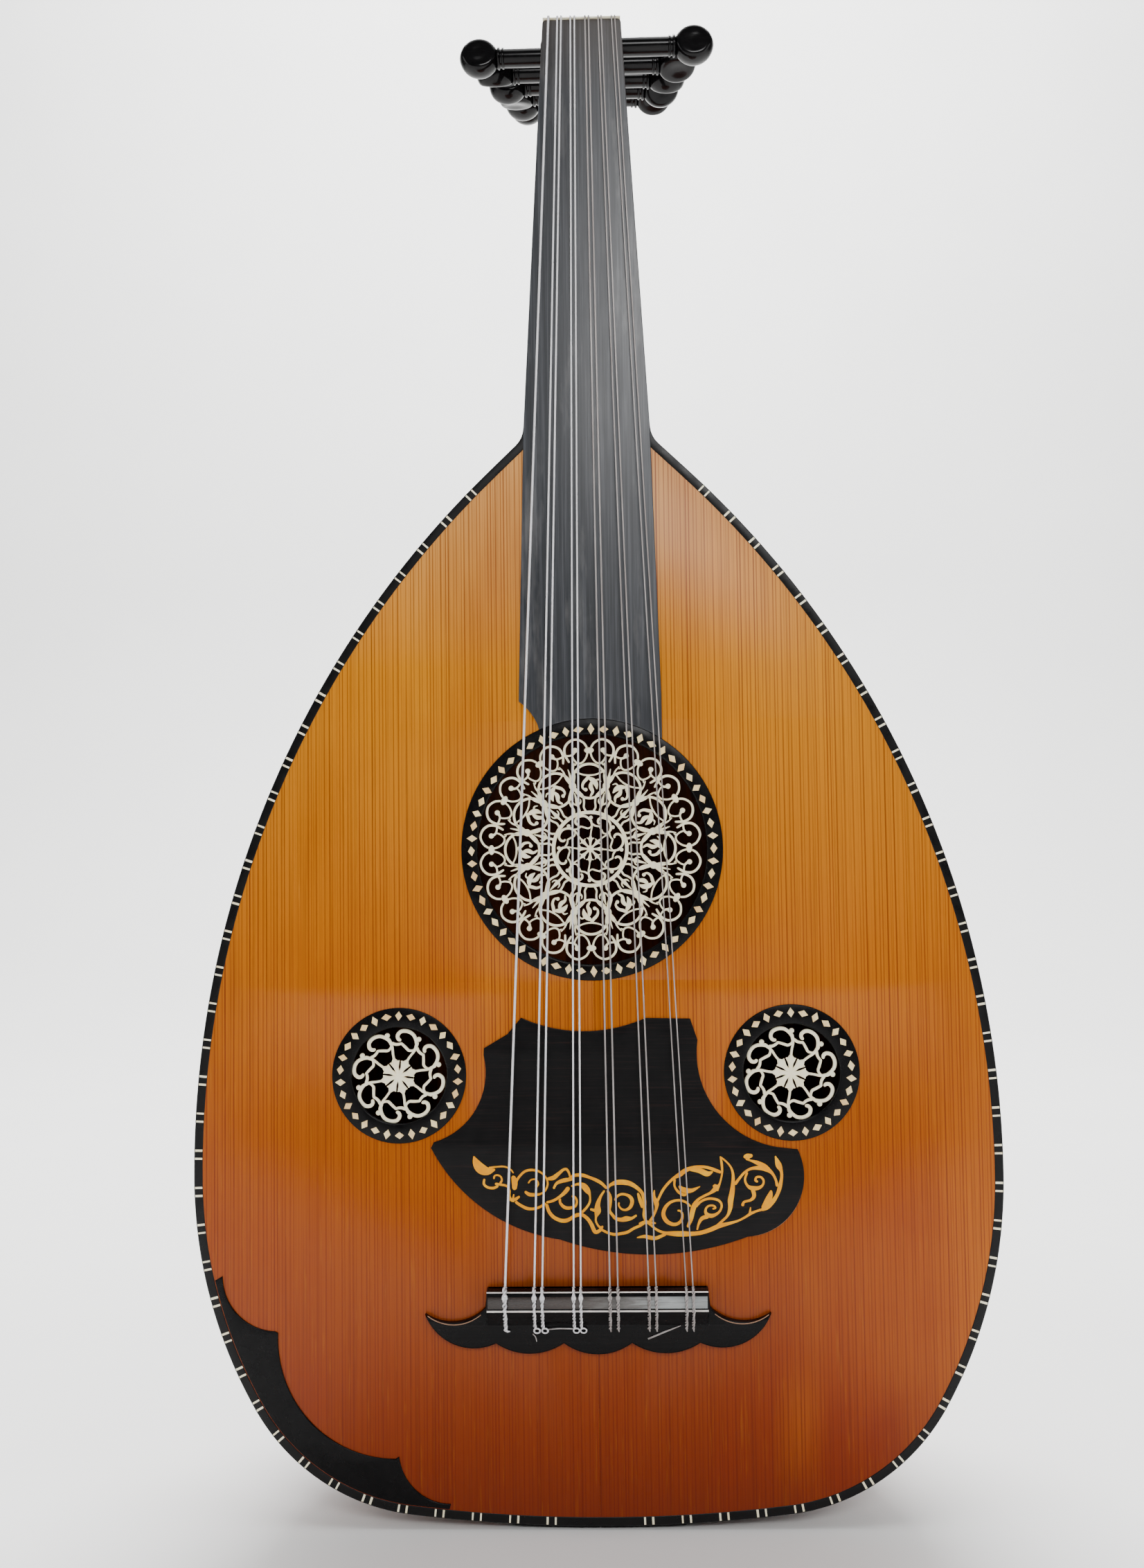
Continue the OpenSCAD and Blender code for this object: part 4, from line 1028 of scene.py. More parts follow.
VINE = (
    ((-55.8, 165.6, 0.5), (-54.6, 162.6, 3.4), (-52.6, 160.0, 4.6), (-49.6, 158.8, 3.6), (-46.0, 159.5, 0.7)),
    ((-49, 160.3, 0.9), (-45.5, 160.7, 0.8), (-42, 160.8, 0.8), (-39.3, 159.8, 0.7), (-37.6, 157.8, 0.6)),
    ((-46.6, 155.2, 0.9), (-46.4, 156.5, 0.8), (-45.2, 157, 0.8), (-43.5, 156.3, 0.8), (-43, 154.6, 0.9),
     (-43.9, 153.2, 1.1)),
    ((-51, 155.4, 1.0), (-51.2, 153, 1.1), (-49.5, 151.5, 1.1), (-46.8, 151.2, 1.2), (-44.6, 152.2, 1.1)),
    ((-46.2, 153.1, 1.1), (-43.5, 152.7, 1.1), (-40.7, 152, 1.0), (-39.6, 150, 1.1), (-39.6, 147.5, 1.1),
     (-38.8, 145.8, 1.3), (-37.2, 145.3, 1.4)),
    ((-38, 156.7, 1.4), (-37.2, 154, 2.7), (-37.3, 150.2, 1.9)), ((-37.4, 145.6, 1.7), (-34.9, 147.4, 0.9)),
    ((-37.6, 148.4, 0.6), (-38.1, 145.6, 1.1)),
    ((-36.6, 153.6, 1.0), (-35.2, 156, 1.1), (-32.4, 158.6, 1.1), (-28.9, 159.2, 1.1), (-25.4, 158.2, 0.9),
     (-22.8, 155.6, 0.8), (-22.1, 152.8, 0.9), (-23.2, 150, 0.9), (-25.4, 148.4, 0.9), (-28.4, 148, 1.5),
     (-30.8, 148.3, 1.6), (-32.6, 149.6, 1.0)),
    ((-31, 153.2, 0.7), (-29.6, 154.8, 0.7), (-27.4, 154.8, 0.7), (-26.3, 153, 0.7), (-27.2, 151.4, 0.7)),
    ((-37, 145, 1.3), (-34.5, 143.3, 1.3), (-31.6, 141.9, 1.4), (-28.7, 141.7, 1.2), (-25.8, 142.5, 1.1),
     (-23, 144.2, 1.1)),
    ((-22.8, 144.5, 1.0), (-19.5, 145.4, 1.2), (-16.6, 147.1, 1.3), (-14.1, 149.2, 1.8), (-12.4, 151.4, 1.9)),
    ((-22.8, 143.9, 1.4), (-21.6, 140.4, 1.5), (-19.5, 137.9, 1.6), (-16.6, 136.5, 1.7), (-14.1, 136.3, 1.8),
     (-12, 137.1, 1.6), (-10.3, 138.2, 1.6), (-8.4, 138.9, 1.7), (-6.4, 138.8, 1.5), (-4.1, 137.1, 1.6),
     (-2.4, 134.6, 1.7), (-1.2, 131.9, 1.8), (-0.3, 131.0, 1.6), (1.6, 132, 1.5), (2.8, 133.9, 0.8)),
    ((-22.6, 155.1, 1.0), (-19.5, 155.6, 2.0), (-17, 157.5, 1.6), (-14.9, 159.2, 1.2), (-13.4, 159.4, 1.2),
     (-12.3, 157.8, 1.0), (-12, 156.3, 0.8)),
    ((-19.5, 150.6, 1.0), (-18.2, 152.9, 1.2), (-16.2, 154, 1.7), (-13.7, 154.6, 1.8), (-10.6, 155, 1.2)),
    ((-12.4, 155.6, 0.9), (-9.5, 156.7, 1.4), (-6.2, 156.7, 1.6), (-2.8, 155.6, 1.3), (0.1, 154.4, 1.5),
     (2.6, 152.9, 1.4), (4.9, 150.6, 1.1)),
    ((-11.4, 151.7, 0.8), (-8.3, 152.7, 1.2), (-5.8, 151.9, 2.6), (-4.0, 149.8, 2.6), (-2.9, 147.5, 0.9),
     (-3, 144.6, 1.0), (-4.5, 142.1, 1.1), (-6.8, 139.8, 1.2)),
    ((-16.6, 146.3, 1.0), (-16.4, 144.2, 1.2), (-14.5, 142.3, 1.5), (-12, 142, 1.4), (-9.5, 142.9, 1.1),
     (-8.9, 145.2, 1.0), (-9.9, 147, 1.0), (-11.2, 147.2, 0.9)),
    ((3.8, 149.8, 0.8), (1.8, 146.7, 1.3), (0.6, 143.3, 2.2), (0.5, 140.4, 3.0), (-0.2, 138, 1.1),
     (-0.3, 136, 0.9), (0.6, 134.1, 0.9), (2.0, 132.9, 1.2)),
    ((-2.9, 141.4, 0.9), (0.0, 140.6, 1.6)),
    ((1.8, 132.4, 1.1), (4.7, 130.9, 1.1), (8, 130, 1.3), (11.3, 130.4, 1.3), (14, 131, 1.3),
     (17, 132.7, 1.2),
     (20, 134, 1.2), (22.8, 135.8, 1.2)),
    ((4.9, 150.4, 1.0), (6.5, 152.2, 1.3), (9.3, 153.3, 2.1), (12.5, 153.4, 2.3), (15.4, 152.8, 2.1),
     (18.3, 151.1, 1.7), (20.8, 148.6, 1.5), (21.8, 145.4, 1.7), (21.9, 141.7, 1.4), (21.5, 138.3, 1.1),
     (22.6, 135.6, 1.2)),
    ((5.1, 149.9, 0.9), (6.3, 146.7, 1.6), (6.1, 143.3, 1.7), (5.9, 140.8, 1.3), (7.2, 138.8, 1.3),
     (8.8, 137.1, 1.5), (11.3, 136.6, 1.8), (13.5, 137.0, 2.4), (16, 137.2, 1.3), (18.3, 138.6, 0.9)),
    ((8.4, 145.2, 0.8), (9.2, 146.8, 1.0), (11.2, 148, 1.1), (13.6, 147.8, 1.2), (15.6, 146.6, 1.6),
     (16.3, 144.6, 1.7), (15.4, 142.2, 1.5), (13.4, 141, 1.1), (11.4, 141.4, 0.9), (10.2, 143, 0.8),
     (10.4, 144.4, 0.8)),
    ((18.9, 148.6, 0.8), (20, 145.2, 1.7), (20.9, 141.8, 1.0)),
    ((26.5, 149.8, 0.5), (26.2, 146.8, 1.5), (27.3, 144, 2.2), (27.2, 141.5, 1.3), (25.9, 138.3, 1.1),
     (24.2, 135.8, 1.3)),
    ((27.6, 144.4, 1.0), (30, 149.2, 1.2), (32.5, 152.5, 1.2), (35.5, 155.2, 1.3), (38.3, 156.8, 2.1),
     (40.8, 158.6, 1.9), (44.2, 159.8, 1.5), (47.5, 160.1, 1.3), (50.8, 159.8, 1.3), (54.2, 158.6, 1.5),
     (57.0, 157.5, 1.2)),
    ((42.5, 158.8, 0.8), (47.0, 158.4, 2.2), (50.6, 157.0, 2.4), (53.2, 157.9, 0.5)),
    ((35.8, 154.8, 1.2), (35.7, 151.5, 0.9), (37.4, 148.9, 1.2), (39.9, 147.6, 1.4), (41.4, 148.1, 0.6)),
    ((37.6, 151.6, 0.9), (39.8, 149.8, 2.4), (43.3, 149.5, 1.8), (47.3, 151.3, 0.4)),
    ((42.9, 142.3, 0.9), (40.8, 144.2, 1.0), (38.3, 145.1, 1.1), (35.8, 145, 1.1), (33.3, 144.0, 1.3),
     (31.2, 141.7, 1.6), (30.4, 138.8, 1.8), (31.7, 136.0, 1.9), (34.2, 134.5, 1.6), (36.7, 134.6, 1.4),
     (38.6, 136.3, 1.3), (39.0, 138.8, 1.1), (38.2, 140.3, 0.9), (36.8, 140.6, 0.8)),
    ((56.7, 164.8, 0.7), (57.2, 161.7, 1.1), (57.4, 157.9, 0.9), (56.9, 155, 0.8), (56, 152.1, 1.0),
     (54.6, 150.5, 2.3), (52.1, 148.5, 1.3), (49.2, 147.1, 1.1), (46.3, 145.4, 1.2), (44.6, 142.9, 2.2),
     (43.6, 140, 2.2), (42.9, 136.7, 1.8), (41.3, 133.0, 1.2)),
    ((53.0, 151.4, 0.6), (54.2, 151.2, 2.2), (55.4, 149.2, 1.0)),
    ((45, 142.1, 1.2), (47.5, 144.5, 1.1), (50.4, 145.7, 1.1), (53.3, 145.7, 1.1), (55.8, 144.8, 1.1),
     (56.9, 142.9, 1.0), (56.2, 140.4, 1.0), (54.2, 138.7, 1.3), (51.7, 138.1, 1.9), (49.8, 139.2, 1.5),
     (49.7, 141.2, 1.0), (51.2, 142.6, 0.9), (53.3, 142.6, 0.9), (54.1, 141.6, 0.9), (52.7, 141.2, 0.8)),
    ((51.0, 137.9, 1.9), (48.0, 137.0, 1.7), (46.4, 134.6, 1.1), (45.6, 131.8, 0.7)),
    ((56.9, 164.4, 0.8), (59.2, 162.5, 0.8), (61.3, 160, 0.9), (62.3, 156.7, 1.2), (62.2, 152.5, 1.7),
     (61.7, 148.3, 2.3), (61, 145, 2.5), (60.8, 141.7, 1.9), (59.6, 138.3, 1.2), (57.1, 135.8, 1.1),
     (54.6, 133.6, 1.1)),
    ((22.7, 135.6, 1.0), (25, 133.8, 1.0), (27.5, 131.9, 1.1), (30.8, 130.6, 1.3), (35, 130.2, 2.2),
     (39.2, 130.1, 2.4), (43.3, 130.1, 1.9), (47.5, 130.6, 1.8), (51.7, 131.9, 1.9), (55.8, 133.6, 2.0),
     (60, 134.6, 1.4), (64.2, 135.8, 1.0), (67.5, 137.4, 1.0), (70, 139, 1.3), (72.5, 140, 1.0),
     (75, 140.8, 1.2)),
    ((70, 141.9, 0.5), (69.6, 139.1, 1.2)),
    ((74.6, 140.6, 1.2), (77.5, 141.6, 1.7), (80.2, 144.4, 1.9), (82.2, 147.5, 1.6), (83.4, 150.8, 1.8),
     (84.3, 155, 1.3), (84.2, 157.9, 1.4), (83.0, 160.8, 2.7), (81.6, 164.8, 0.5)),
    ((75.2, 141.4, 1.2), (77.4, 144, 2.8), (78.9, 147, 2.4), (79.5, 149.4, 0.8)),
    ((63.0, 152, 1.4), (65, 154.6, 1.2), (67.5, 157.4, 1.1), (70.4, 159.1, 1.2), (74.2, 159.5, 1.9),
     (77.5, 158.9, 2.3), (80, 157.1, 1.4), (81.6, 154.2, 1.1), (82.3, 151.0, 1.4)),
    ((67.2, 164.4, 1.2), (69.0, 164.7, 2.4), (71.4, 165.1, 1.2)), ((68.2, 163.7, 1.2), (70.4, 162.8, 0.9),
     (73.3, 161.8, 1.8), (76.7, 160.2, 2.0), (79.2, 158.3, 1.2)),
    ((68.8, 157.6, 1.0), (67.7, 154.2, 1.0), (68.8, 151.5, 1.2), (70.8, 150.4, 2.0), (73.8, 150.5, 1.6),
     (75.7, 151.8, 1.0), (76.1, 153.8, 1.0), (74.9, 155.3, 1.0), (73.0, 155.3, 1.0), (72.4, 153.9, 1.1),
     (73.6, 153.2, 1.0)),
    ((71.0, 150.3, 1.8), (71.7, 146.9, 1.7), (70, 145, 1.2), (67.1, 144.2, 1.1), (66.3, 142.3, 1.5)),
    ((18.2, 128.5, 0.5), (21.7, 129, 1.5), (24.2, 128.5, 1.8), (26.7, 128.2, 1.6), (29.2, 129.1, 1.4),
     (31.6, 130.1, 1.2)),
    ((19.2, 134.7, 0.9), (22.5, 135.4, 1.6), (27, 134.9, 0.6)),
)


def build_pickguard():
    rows = [(44, 227.1), *bow((23.6, 227.6), (-33.5, 228.2), -6.1, 22), (-33.5, 228.2), (-40, 220.7),
            (-50.8, 214.4),
            *bow((-50.9, 211.3), (-74.1, 171.9), -9.2), (-74.1, 171.9),
            *bow((-75.4, 169.4), (-16.9, 127.8), 8.7, 24), *bow((-16.9, 127.8), (68.6, 128.6), 7.4, 30),
            *bow((68.6, 128.6), (91.9, 167.6), 12.2, 24), (91.9, 167.6),
            *bow((83, 168.6), (47.2, 217.4), -12.5, 22), (47.2, 217.4)]
    s = Shape()
    s.slab([anticlockwise(rows)], BOARD_FRONT, GUARD_FRONT, 0.35, facing)
    s.piece("wooden_pickguard", GUARD_WOOD, "dark_wood", replaces=["pickguard"])
    # thin pale-brown strip along the pickguard's lower edges: a painted highlight where its bevel catches the
    # light
    s = Shape()
    edge = [*bow((-74.1, 170.5), (-16.9, 127.9), 8.7, 24), *bow((-16.9, 127.9), (68.6, 128.7), 7.4, 30),
            *bow((68.6, 128.7), (91.6, 167.0), 12.1, 24)]
    s.ribbon([(x, z + 0.1, 0.32) for x, z in edge], GUARD_FRONT + 0.16, GUARD_FRONT + 0.6, 0.06, step=1.5)
    s.piece("pickguard_painted_edge_highlight", EDGE_PAINTED_HIGHLIGHT, "dark_wood")
    s = Shape()
    for i, rows in enumerate(VINE):
        s.ribbon(rows, GUARD_FRONT - 0.1 - 0.04 * (i % 4) / 4, GUARD_FRONT + 0.2, 0.08, step=0.6)
    s.piece("yellow_vine_inlay", YELLOW, "yellow_inlay", replaces=["pickguard_inlay"], sharp=60)


# ---------- fingerboard and pegbox ----------


def build_fingerboard():
    end_w, joint_w, nut_w = 33.1, 29.6, 18.6
    round_r = 1.6
    ring = [(MAIN_R * math.sin(a), MAIN_Z + MAIN_R * math.cos(a))
            for a in np.linspace(math.asin(end_w / MAIN_R), math.asin(-23.8 / MAIN_R), 40)]
    corner = lambda x, z, a0, a1: arc(x, z, round_r, a0, a1, 7)
    rows = ([(end_w, 376), (joint_w, JOINT_Z)] + corner(nut_w - round_r, NUT_Z - round_r, 0, 90)
            + corner(-nut_w + round_r, NUT_Z - round_r, 90, 180) + [(-joint_w, JOINT_Z)]
            + bow((-end_w, 374), (-23.8, 361.4), -1.2, 10) + [p for p in ring[::-1]])
    s = Shape()
    low = [p for p in anticlockwise(rows)]
    s.slab([low], BOARD_FRONT, FINGER_FRONT, 0.35, facing)
    taper = [(joint_w - 0.3, JOINT_Z), (nut_w - 0.3, NUT_Z - 0.5), (-nut_w + 0.3, NUT_Z - 0.5),
             (-joint_w + 0.3, JOINT_Z)]
    s.slab([anticlockwise(taper)], 0, BOARD_FRONT - 0.2, 0.05, facing, steps=1)
    s.piece("grey_black_fingerboard", FINGER_WOOD, "fingerboard", replaces=["fingerboard"])


def box_centre():
    a = math.radians(BOX_RISE)
    return np.array(BOX_START) + BOX_R * np.array([-math.sin(a), math.cos(a)])


def box_turn(s):
    return math.radians(BOX_RISE) + s / BOX_R


def box_at(s):
    """(y, z) of the peg axes' arc at distance s."""
    t = box_turn(s)
    return box_centre() + BOX_R * np.array([math.sin(t), -math.cos(t)])


def box_normal(s):
    t = box_turn(s)
    return np.array([-math.sin(t), math.cos(t)])


def peg_s(k):
    return (PEG_LEFT_FIRST if k % 2 == 0 else PEG_RIGHT_FIRST) + PEG_PITCH * (k // 2)


def peg_side(k):
    return -1 if k % 2 == 0 else 1


def cheek_x(s):
    return BOX_HALF_W - BOX_TAPER * s


def build_pegbox():
    n = 40
    chord = (box_at(BOX_LEN) - box_at(0)) / np.linalg.norm(box_at(BOX_LEN) - box_at(0))
    spots = np.linspace(0.6, BOX_LEN, n + 1)
    low = [box_at(s) - box_normal(s) * (13 - 4 * s / BOX_LEN) for s in spots]
    top = [box_at(s) + box_normal(s) * (10 - 2 * s / BOX_LEN) for s in spots[::-1]]
    band = [(max(y, BOX_START[0]), z) for y, z in low + top]
    for side, name in ((-1, "left"), (1, "right")):
        def place(u, v, h):
            s = (np.array([u, v]) - np.array(BOX_START)) @ chord
            return (side * (BOX_HALF_W - BOX_TAPER * s - h), u, v)

        holes = [clockwise(circle(*box_at(peg_s(k)), (PEG_R if peg_side(k) == side else PEG_TIP_R) + 0.05,
                                  28))
                 for k in range(11)]
        s = Shape()
        s.slab([anticlockwise(band)] + holes, CHEEK_T, 0, 0.7, place, back_bevel=0.5, steps=3)
        s.piece(f"pegbox_side_{name}", NECK_WOOD, "neck_wood", replaces=[f"pegbox_cheek_{name}"])


# ---------- pegs ----------


def build_peg(k):
    side, s_at = peg_side(k), peg_s(k)
    cheek = cheek_x(s_at)
    collar = cheek + COLLAR_REACH[k]
    axis_y, axis_z = box_at(s_at)
    flat_dir = math.radians(HEAD_TURN[k])
    shaft = [(0, -cheek - 2.5), (2.4, -cheek - 2.5), (3.3, -cheek - 2.2), (PEG_TIP_R, -cheek - 1.4),
             (PEG_TIP_R, -0.6),
             (PEG_R, 0.4)]
    shaft += [(PEG_R, v) for v in np.linspace(2, collar - 0.6, 8)]
    shaft += [(PEG_R, collar - 0.3)]
    for at, rise, width in ((collar - 0.1, 0.6, 1.3), (collar + 1.9, 0.9, 1.5)):
        shaft += [(PEG_R + rise * math.sin(a), at + width * (1 - math.cos(a)) / 2)
                  for a in np.linspace(0, math.pi, 7)]
    knob = bow((3.8, collar + 3.4), (0, collar + KNOB_END), 7.3, 40)
    shaft += [(r, h) for r, h in knob] + [(0, collar + KNOB_END)]
    knob_start, centre_h = collar + 3.4, collar + 3.4 + (KNOB_END - 3.4) * 0.52
    segments = 56
    verts, faces = [], []
    n = len(shaft)
    for a in np.linspace(0, 2 * math.pi, segments, endpoint=False):
        for r, h in shaft:
            u, v = r * math.cos(a), r * math.sin(a)
            if h > knob_start:
                reach = abs(v) / KNOB_HALF_T
                v = math.copysign(KNOB_HALF_T * reach / (1 + reach ** 7) ** (1 / 7), v) if reach else 0.0
                dish = math.exp(-((u / 3.6) ** 2 + ((h - centre_h) / 4.2) ** 2) ** 1.5)
                v -= math.copysign(0.55 * dish * min(1.0, abs(v) / KNOB_HALF_T) ** 4, v)
            # u lies in the knob's plane, v across its two faces
            local_x = u * math.cos(flat_dir) - v * math.sin(flat_dir)
            local_y = u * math.sin(flat_dir) + v * math.cos(flat_dir)
            verts.append((side * h, axis_y + local_y, axis_z - side * local_x))
    for i in range(segments):
        j = (i + 1) % segments
        faces += [(i * n + m, i * n + m + 1, j * n + m + 1, j * n + m) for m in range(n - 1)]
    s = Shape()
    s.add(verts, faces)
    number = f"{k + 1:02d}"
    peg = s.piece(f"black_peg_{number}", PEG_BLACK, "peg_black", body=f"peg_{number}_body",
                  replaces=[f"peg_{number}"], sharp=60)
    weld(peg)


def weld(obj):
    """Joins the repeated points at the two ends of a turned piece."""
    bm = bmesh.new()
    bm.from_mesh(obj.data)
    bmesh.ops.remove_doubles(bm, verts=bm.verts, dist=0.00001)
    bmesh.ops.recalc_face_normals(bm, faces=bm.faces)
    bm.to_mesh(obj.data)
    bm.free()


# ---------- bridge ----------


def build_bridge():
    half, z0 = TIE_HALF_W, BRIDGE_Z
    scallop = 82.0
    tip, cusp, tie_back = (78.4, 95.0), (46.2, scallop), (51.0, z0 - 8.8)
    m = lambda p: (-p[0], p[1])
    rows = [(half, z0), (-half, z0), *bow(m(tie_back), m(tip), -5, 14), *bow(m(tip), m(cusp), 7.5, 18),
            *bow(m(cusp), (-15.4, scallop), 4.6), *bow((-15.4, scallop), (15.4, scallop), 5),
            *bow((15.4, scallop), cusp, 4.6), *bow(cusp, tip, 7.5, 18), *bow(tip, tie_back, -5, 14), tie_back]
    s = Shape()
    s.slab([anticlockwise(rows)], BOARD_FRONT, BOARD_FRONT - 3.4, 0.8, facing)
    top = BOARD_FRONT - 8.6
    back_z = z0 - 17
    side_view = [(z0, BOARD_FRONT), (z0, top + 0.5), (z0 - 0.15, top + 0.15), (z0 - 0.5, top), (z0 - 9, top),
                 (z0 - 9.6, top + 0.12), (z0 - 10.2, top + 0.55), (back_z + 1, BOARD_FRONT - 3.6),
                 (back_z, BOARD_FRONT - 3.0), (back_z, BOARD_FRONT)]
    s.slab([anticlockwise(side_view)], -half, half, 0.6, lambda u, v, h: (h, v, u), back_bevel=0.6, steps=3)
    s.piece("bridge_and_tie_block", EBONY, "ebony", replaces=["bridge"])

    # pale strips along the tie block's front and rear top edges: painted highlights of those edges
    s = Shape()
    for z, wide in ((z0 - 0.35, 0.55), (z0 - 8.7, 0.8)):
        strip = [(-half + 0.2, z - wide / 2), (half - 0.2, z - wide / 2), (half - 0.2, z + wide / 2),
                 (-half + 0.2, z + wide / 2)]
        s.slab([strip], top + 0.3, top - 0.16, 0.12, facing, steps=2)
    s.piece("bridge_painted_highlight_strips", LINE_WHITE, "bone", replaces=["bridge_caps"])
    # band on the tie block's top; its brown-to-grey colour is a painted reflection
    s = Shape()
    band = [(-half + 0.6, z0 - 7.6), (half - 0.6, z0 - 7.6), (half - 0.6, z0 - 2.3), (-half + 0.6, z0 - 2.3)]
    s.slab([band], top + 0.2, top - 0.1, 0.08, facing, steps=2)
    s.piece("bridge_band_painted_reflection", BAND_PAINTED_REFLECTION, "dark_wood")
    # thin brown strip along the wing tops: a painted highlight on their bevelled edges
    s = Shape()
    for flip in (-1, 1):
        edge = [(flip * x, z) for x, z in bow((tip[0] - 1.2, tip[1] - 0.4),
                                              (tie_back[0] + 0.6, tie_back[1] - 1.6), -4.8, 16)]
        s.ribbon([(x, z, 0.4) for x, z in edge], BOARD_FRONT - 3.46, BOARD_FRONT - 3.2, 0.05, step=1.5)
    s.piece("bridge_wing_painted_highlights", EDGE_PAINTED_HIGHLIGHT, "dark_wood")


# ---------- strings ----------


def string_look(k):
    """Material and slot of a string."""
    return (WOUND, "wound_string") if k < WOUND_COUNT else (NYLON, "nylon_string")


def tie_rows(k, lift):
    """Way of a string's tail over the tie block, from the front edge to behind it."""
    x = BRIDGE_X[k]
    top = BOARD_FRONT - 8.6 - 0.2 - lift
    z0 = BRIDGE_Z
    return [(x, -8.6, z0 + 1.4), (x, top + 1.2, z0 + 0.9), (x, top, z0 - 0.8), (x, top - 0.1, z0 - 3.0),
            (x, top, z0 - 6.0), (x, top, z0 - 8.8), (x, top + 0.9, z0 - 10.6), (x, top + 2.9, z0 - 13.4),
            (x, top + 4.6, z0 - 16.0), (x, BOARD_FRONT - 3.6 - lift, z0 - 17.8)]


def build_string(s, k):
    r = STRING_D[k] / 2
    nut_top = box_mm("nut")[1][2]
    nut = np.array([NUT_X[k], -3.8, nut_top - 0.6 + r])
    low = np.array([BRIDGE_X[k], -8.3, BRIDGE_Z + 0.6])
    tone = 0.5
    if k == 4:
        tone = 0.62
    way = nut - low
    s.tube([low + way * t for t in np.linspace(0, 1, 30)], r, 10, tone=tone)
    # over the nut and back to the top of its winding
    j = STRING_PEG[k]
    p, n = box_at(peg_s(j)), box_normal(peg_s(j))
    shaft = PEG_R if peg_side(j) * WINDING_X[k] > 0 else PEG_TIP_R
    reach = shaft + r + 0.05
    top = np.array([WINDING_X[k], *(p + n * reach)])
    bend = [nut - way / np.linalg.norm(way) * 1.2, nut + (0, 0, 0.02), nut + (0, 0.9, 0.12)]
    s.tube(smooth_path(bend + [nut + (top - nut) * t for t in (0.15, 0.5, 0.85, 1)], 1.2, dims=3), r, 10,
           tone=tone)
    s.blob(nut, (r * 1.05, r * 1.05, r * 1.05), 10, 6)


def build_winding(k):
    """Turns of a string on its peg; they turn with the peg."""
    r = STRING_D[k] / 2
    j = STRING_PEG[k]
    p, n = box_at(peg_s(j)), box_normal(peg_s(j))
    along = np.array([n[1], -n[0]])
    shaft = PEG_R if peg_side(j) * WINDING_X[k] > 0 else PEG_TIP_R
    reach = shaft + r + 0.05
    turns = 3 + k % 2
    outward = 1 if WINDING_X[k] > 0 else -1
    step = (2 * r + 0.08) * (outward if abs(WINDING_X[k]) < WINDING_SPLIT else -outward)
    rows = []
    for a in np.linspace(0, 2 * math.pi * turns, 20 * turns + 1):
        y, z = p + reach * (n * math.cos(a) + along * math.sin(a))
        rows.append((WINDING_X[k] + step * a / (2 * math.pi), y, z))
    s = Shape()
    s.tube(rows, r, 8)
    s.piece(f"string_winding_{k + 1:02d}", *string_look(k),
            body=f"peg_{j + 1:02d}_body")


def build_tie(s, k):
    """The string's tail, brought over the tie block and twisted around itself."""
    r = STRING_D[k] / 2
    wound = k < WOUND_COUNT
    strand = r * 0.85 if wound else 0.34
    lay = strand * (1.0 if wound else 1.2)
    path = smooth_path(tie_rows(k, strand + lay), 0.35, dims=3)
    run = np.concatenate([[0], np.cumsum(np.linalg.norm(np.diff(path, axis=0), axis=1))])
    pitch = 4.6 if wound else 3.4
    way = np.gradient(path, axis=0)
    way /= np.linalg.norm(way, axis=1)[:, None]
    across = np.array([1.0, 0, 0])
    for phase in (0, math.pi):
        rows = []
        for i, p in enumerate(path):
            up = np.cross(way[i], across)
            a = phase + 2 * math.pi * run[i] / pitch
            gain = lay * (1 + 0.25 * math.sin(run[i] * 0.9 + k))
            rows.append(p + gain * (across * math.cos(a) + up * math.sin(a)))
        s.tube(rows, strand, 8)
    for at, wide, long in ((5.6, 1.9, 2.4), (11.4, 1.4, 1.2), (16.0, 1.35, 1.1), (20.0, 1.3, 1.0)):
        spot = path[np.argmin(abs(run - at))]
        swell = r + 0.15
        s.blob(spot + (0, 0.1, 0), (wide * swell, 1.2 * swell, long * swell), 14, 9, lump=0.09)
    end = path[-1]
    if k in (1, 2, 3, 4):
        size = 1.35
        loop = [(end[0] + 1.0 + size * math.cos(a), end[1] - 0.25 - 0.2 * math.sin(a),
                 end[2] - 0.6 + size * 0.8 * math.sin(a))
                for a in np.linspace(0, 2 * math.pi, 22, endpoint=False)]
        s.tube(loop, strand * 0.95, 8, closed=True)
    elif k == 0:
        s.tube([end + (0, 0, 1.0), end + (0.1, 0.1, -0.4), end + (0.9, 0.25, -1.0), end + (2.0, 0.3, -0.9)],
               [strand * 1.3, strand * 1.7, strand * 1.1, 0.25], 8)
    else:
        s.tube([end + (0, 0, 0.8), end + (0.15, 0.1, -0.6), end + (0.3, 0.2, -1.4)],
               [strand, strand * 1.2, strand * 0.7], 8)


def build_strings():
    for c, members in enumerate(COURSES):
        s = Shape()
        for k in members:
            build_string(s, k)
            build_tie(s, k)
        s.piece(f"strings_course_{c + 1}", *string_look(members[0]),
                replaces=[f"string_course_{c + 1}"], sharp=80)
    for k in range(11):
        build_winding(k)
    # loose ends left on the bridge behind the tie block
    rest = BOARD_FRONT - 3.4 - 0.35
    s = Shape()
    s.tube(smooth_path([(-23.3, rest - 0.9, 88.7), (-17.5, rest - 1.1, 89.2), (-11.0, rest - 0.9, 89.0)],
                       1.0, dims=3), 0.28, 8)
    s.tube(smooth_path([(-29.4, rest - 0.2, 86.6), (-28.2, rest - 0.1, 85.2), (-27.7, rest, 83.2)], 0.6,
                       dims=3), 0.24, 8)
    s.tube([(22.6, rest, 84.2), (30.0, rest - 0.05, 87.2), (37.4, rest, 90.0)], [0.42, 0.4, 0.22], 10)
    s.piece("string_loose_ends", NYLON, "nylon_string")


# ---------- carried-over CAD nodes ----------


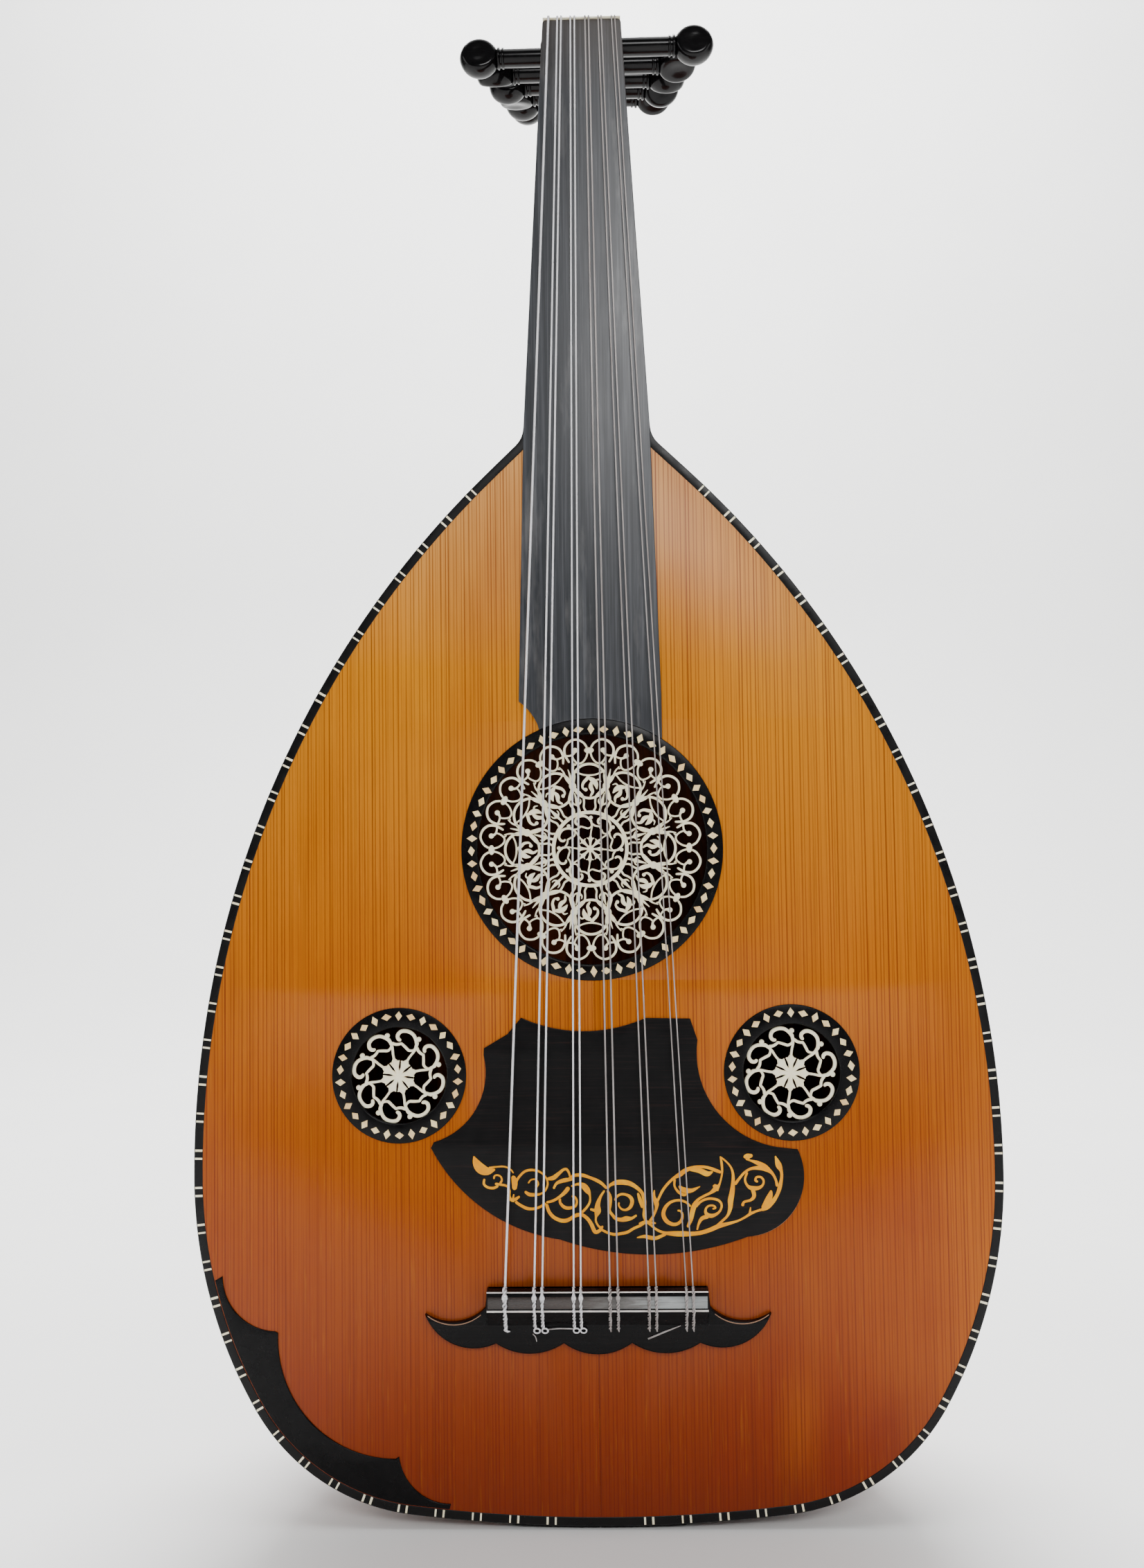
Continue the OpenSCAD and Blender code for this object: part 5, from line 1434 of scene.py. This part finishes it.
def finish_nodes():
    kept = {"soundboard_braces": SPRUCE, "neck_block": SPRUCE, "tail_block": SPRUCE, "neck": NECK_WOOD,
            "pegbox_back": NECK_WOOD, "pegbox_end": NECK_WOOD, "nut": IVORY}
    for name, material in kept.items():
        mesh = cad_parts[name].data
        mesh.materials.clear()
        mesh.materials.append(material)
        mesh.polygons.foreach_set("use_smooth", [True] * len(mesh.polygons))
        mesh.set_sharp_from_angle(angle=math.radians(25))


build_soundboard()
build_binding()
build_corner_guard()
build_bowl()
build_clasp()
build_rosettes()
build_pickguard()
build_fingerboard()
build_pegbox()
for peg in range(11):
    build_peg(peg)
build_bridge()
build_strings()
finish_nodes()

# ---------- stage, light and camera ----------


def build_stage():
    """Pale floor that sweeps up into a backdrop well behind the object."""
    floor_z = CAD_BOX[0][2] - 0.0005
    rows = [(-2.2, floor_z), (1.6, floor_z)]
    rows += [(1.6 + 0.9 * math.sin(a), floor_z + 0.9 * (1 - math.cos(a)))
             for a in np.linspace(0.1, math.pi / 2, 14)]
    rows += [(2.5, 4.5)]
    verts = [(x, y, z) for x in (-4.5, 4.5) for y, z in rows]
    n = len(rows)
    mesh = bpy.data.meshes.new("studio_floor")
    mesh.from_pydata(verts, [], [(k, k + 1, n + k + 1, n + k) for k in range(n - 1)])
    mesh.polygons.foreach_set("use_smooth", [True] * (n - 1))
    floor = bpy.data.objects.new("studio_floor", mesh)
    bpy.context.scene.collection.objects.link(floor)
    f = Finish("pale_studio_floor", Specular_IOR_Level=0.2)
    f.colour(f.mix(srgb(238, 238, 237), srgb(228, 228, 227), f.noise((3, 3, 3))))
    f.roughness(f.span(f.noise((20, 20, 20)), 0.3, 0.7, 0.6, 0.75))
    mesh.materials.append(f.material)


def area_light(name, place, aim, size, power):
    light = bpy.data.lights.new(name, "AREA")
    light.shape = "RECTANGLE"
    light.size, light.size_y = size
    light.energy = power
    obj = bpy.data.objects.new(name, light)
    bpy.context.scene.collection.objects.link(obj)
    obj.location = place
    obj.rotation_euler = (Vector(aim) - Vector(place)).to_track_quat("-Z", "Y").to_euler()


WORLD_STRENGTH = 0.16


def build_lights():
    world = bpy.data.worlds.new("soft_room")
    world.use_nodes = True
    world.node_tree.nodes["Background"].inputs[0].default_value = (1.0, 1.0, 1.0, 1)
    world.node_tree.nodes["Background"].inputs[1].default_value = WORLD_STRENGTH
    bpy.context.scene.world = world
    middle = (0, 0, 0.35)
    area_light("window", (0.3, -1.6, 1.15), (0.0, 0, 0.4), (0.8, 0.45), 15)
    area_light("left_softbox", (-1.7, -0.9, 0.9), middle, (1.0, 1.4), 10)
    area_light("right_softbox", (1.7, -0.9, 0.6), middle, (1.0, 1.4), 8)
    area_light("top_softbox", (0.0, -0.3, 2.1), middle, (1.6, 0.7), 14)
    area_light("backdrop_wash", (0.0, 1.0, 3.0), (0, 2.3, 0.4), (2.4, 0.8), 250)
    area_light("floor_wash", (0.0, 0.8, 1.9), (0, 1.0, 0.0), (2.4, 1.0), 34)


CAMERA_AT = (0.0098, -0.6988, 0.2992)
CAMERA_TURN = (-1.53, 2.97, -0.69)  # yaw, pitch and roll in degrees
CAMERA_LENS, SENSOR_W = 34.65, 36


def build_camera():
    """A view from the front: a little above the middle, nearly square on, closer than a metre."""
    yaw, pitch, roll = (math.radians(a) for a in CAMERA_TURN)
    forward = Vector((math.sin(yaw) * math.cos(pitch), math.cos(yaw) * math.cos(pitch), math.sin(pitch)))
    right = Vector((math.cos(yaw), -math.sin(yaw), 0))
    up = right.cross(forward)
    r2 = right * math.cos(roll) + up * math.sin(roll)
    u2 = -right * math.sin(roll) + up * math.cos(roll)
    data = bpy.data.cameras.new("view")
    data.sensor_width = SENSOR_W
    data.lens = CAMERA_LENS
    camera = bpy.data.objects.new("view", data)
    camera.matrix_world = Matrix((
        (r2.x, u2.x, -forward.x, CAMERA_AT[0]), (r2.y, u2.y, -forward.y, CAMERA_AT[1]),
        (r2.z, u2.z, -forward.z, CAMERA_AT[2]), (0, 0, 0, 1)))
    bpy.context.scene.collection.objects.link(camera)
    bpy.context.scene.camera = camera


build_stage()
build_lights()
build_camera()
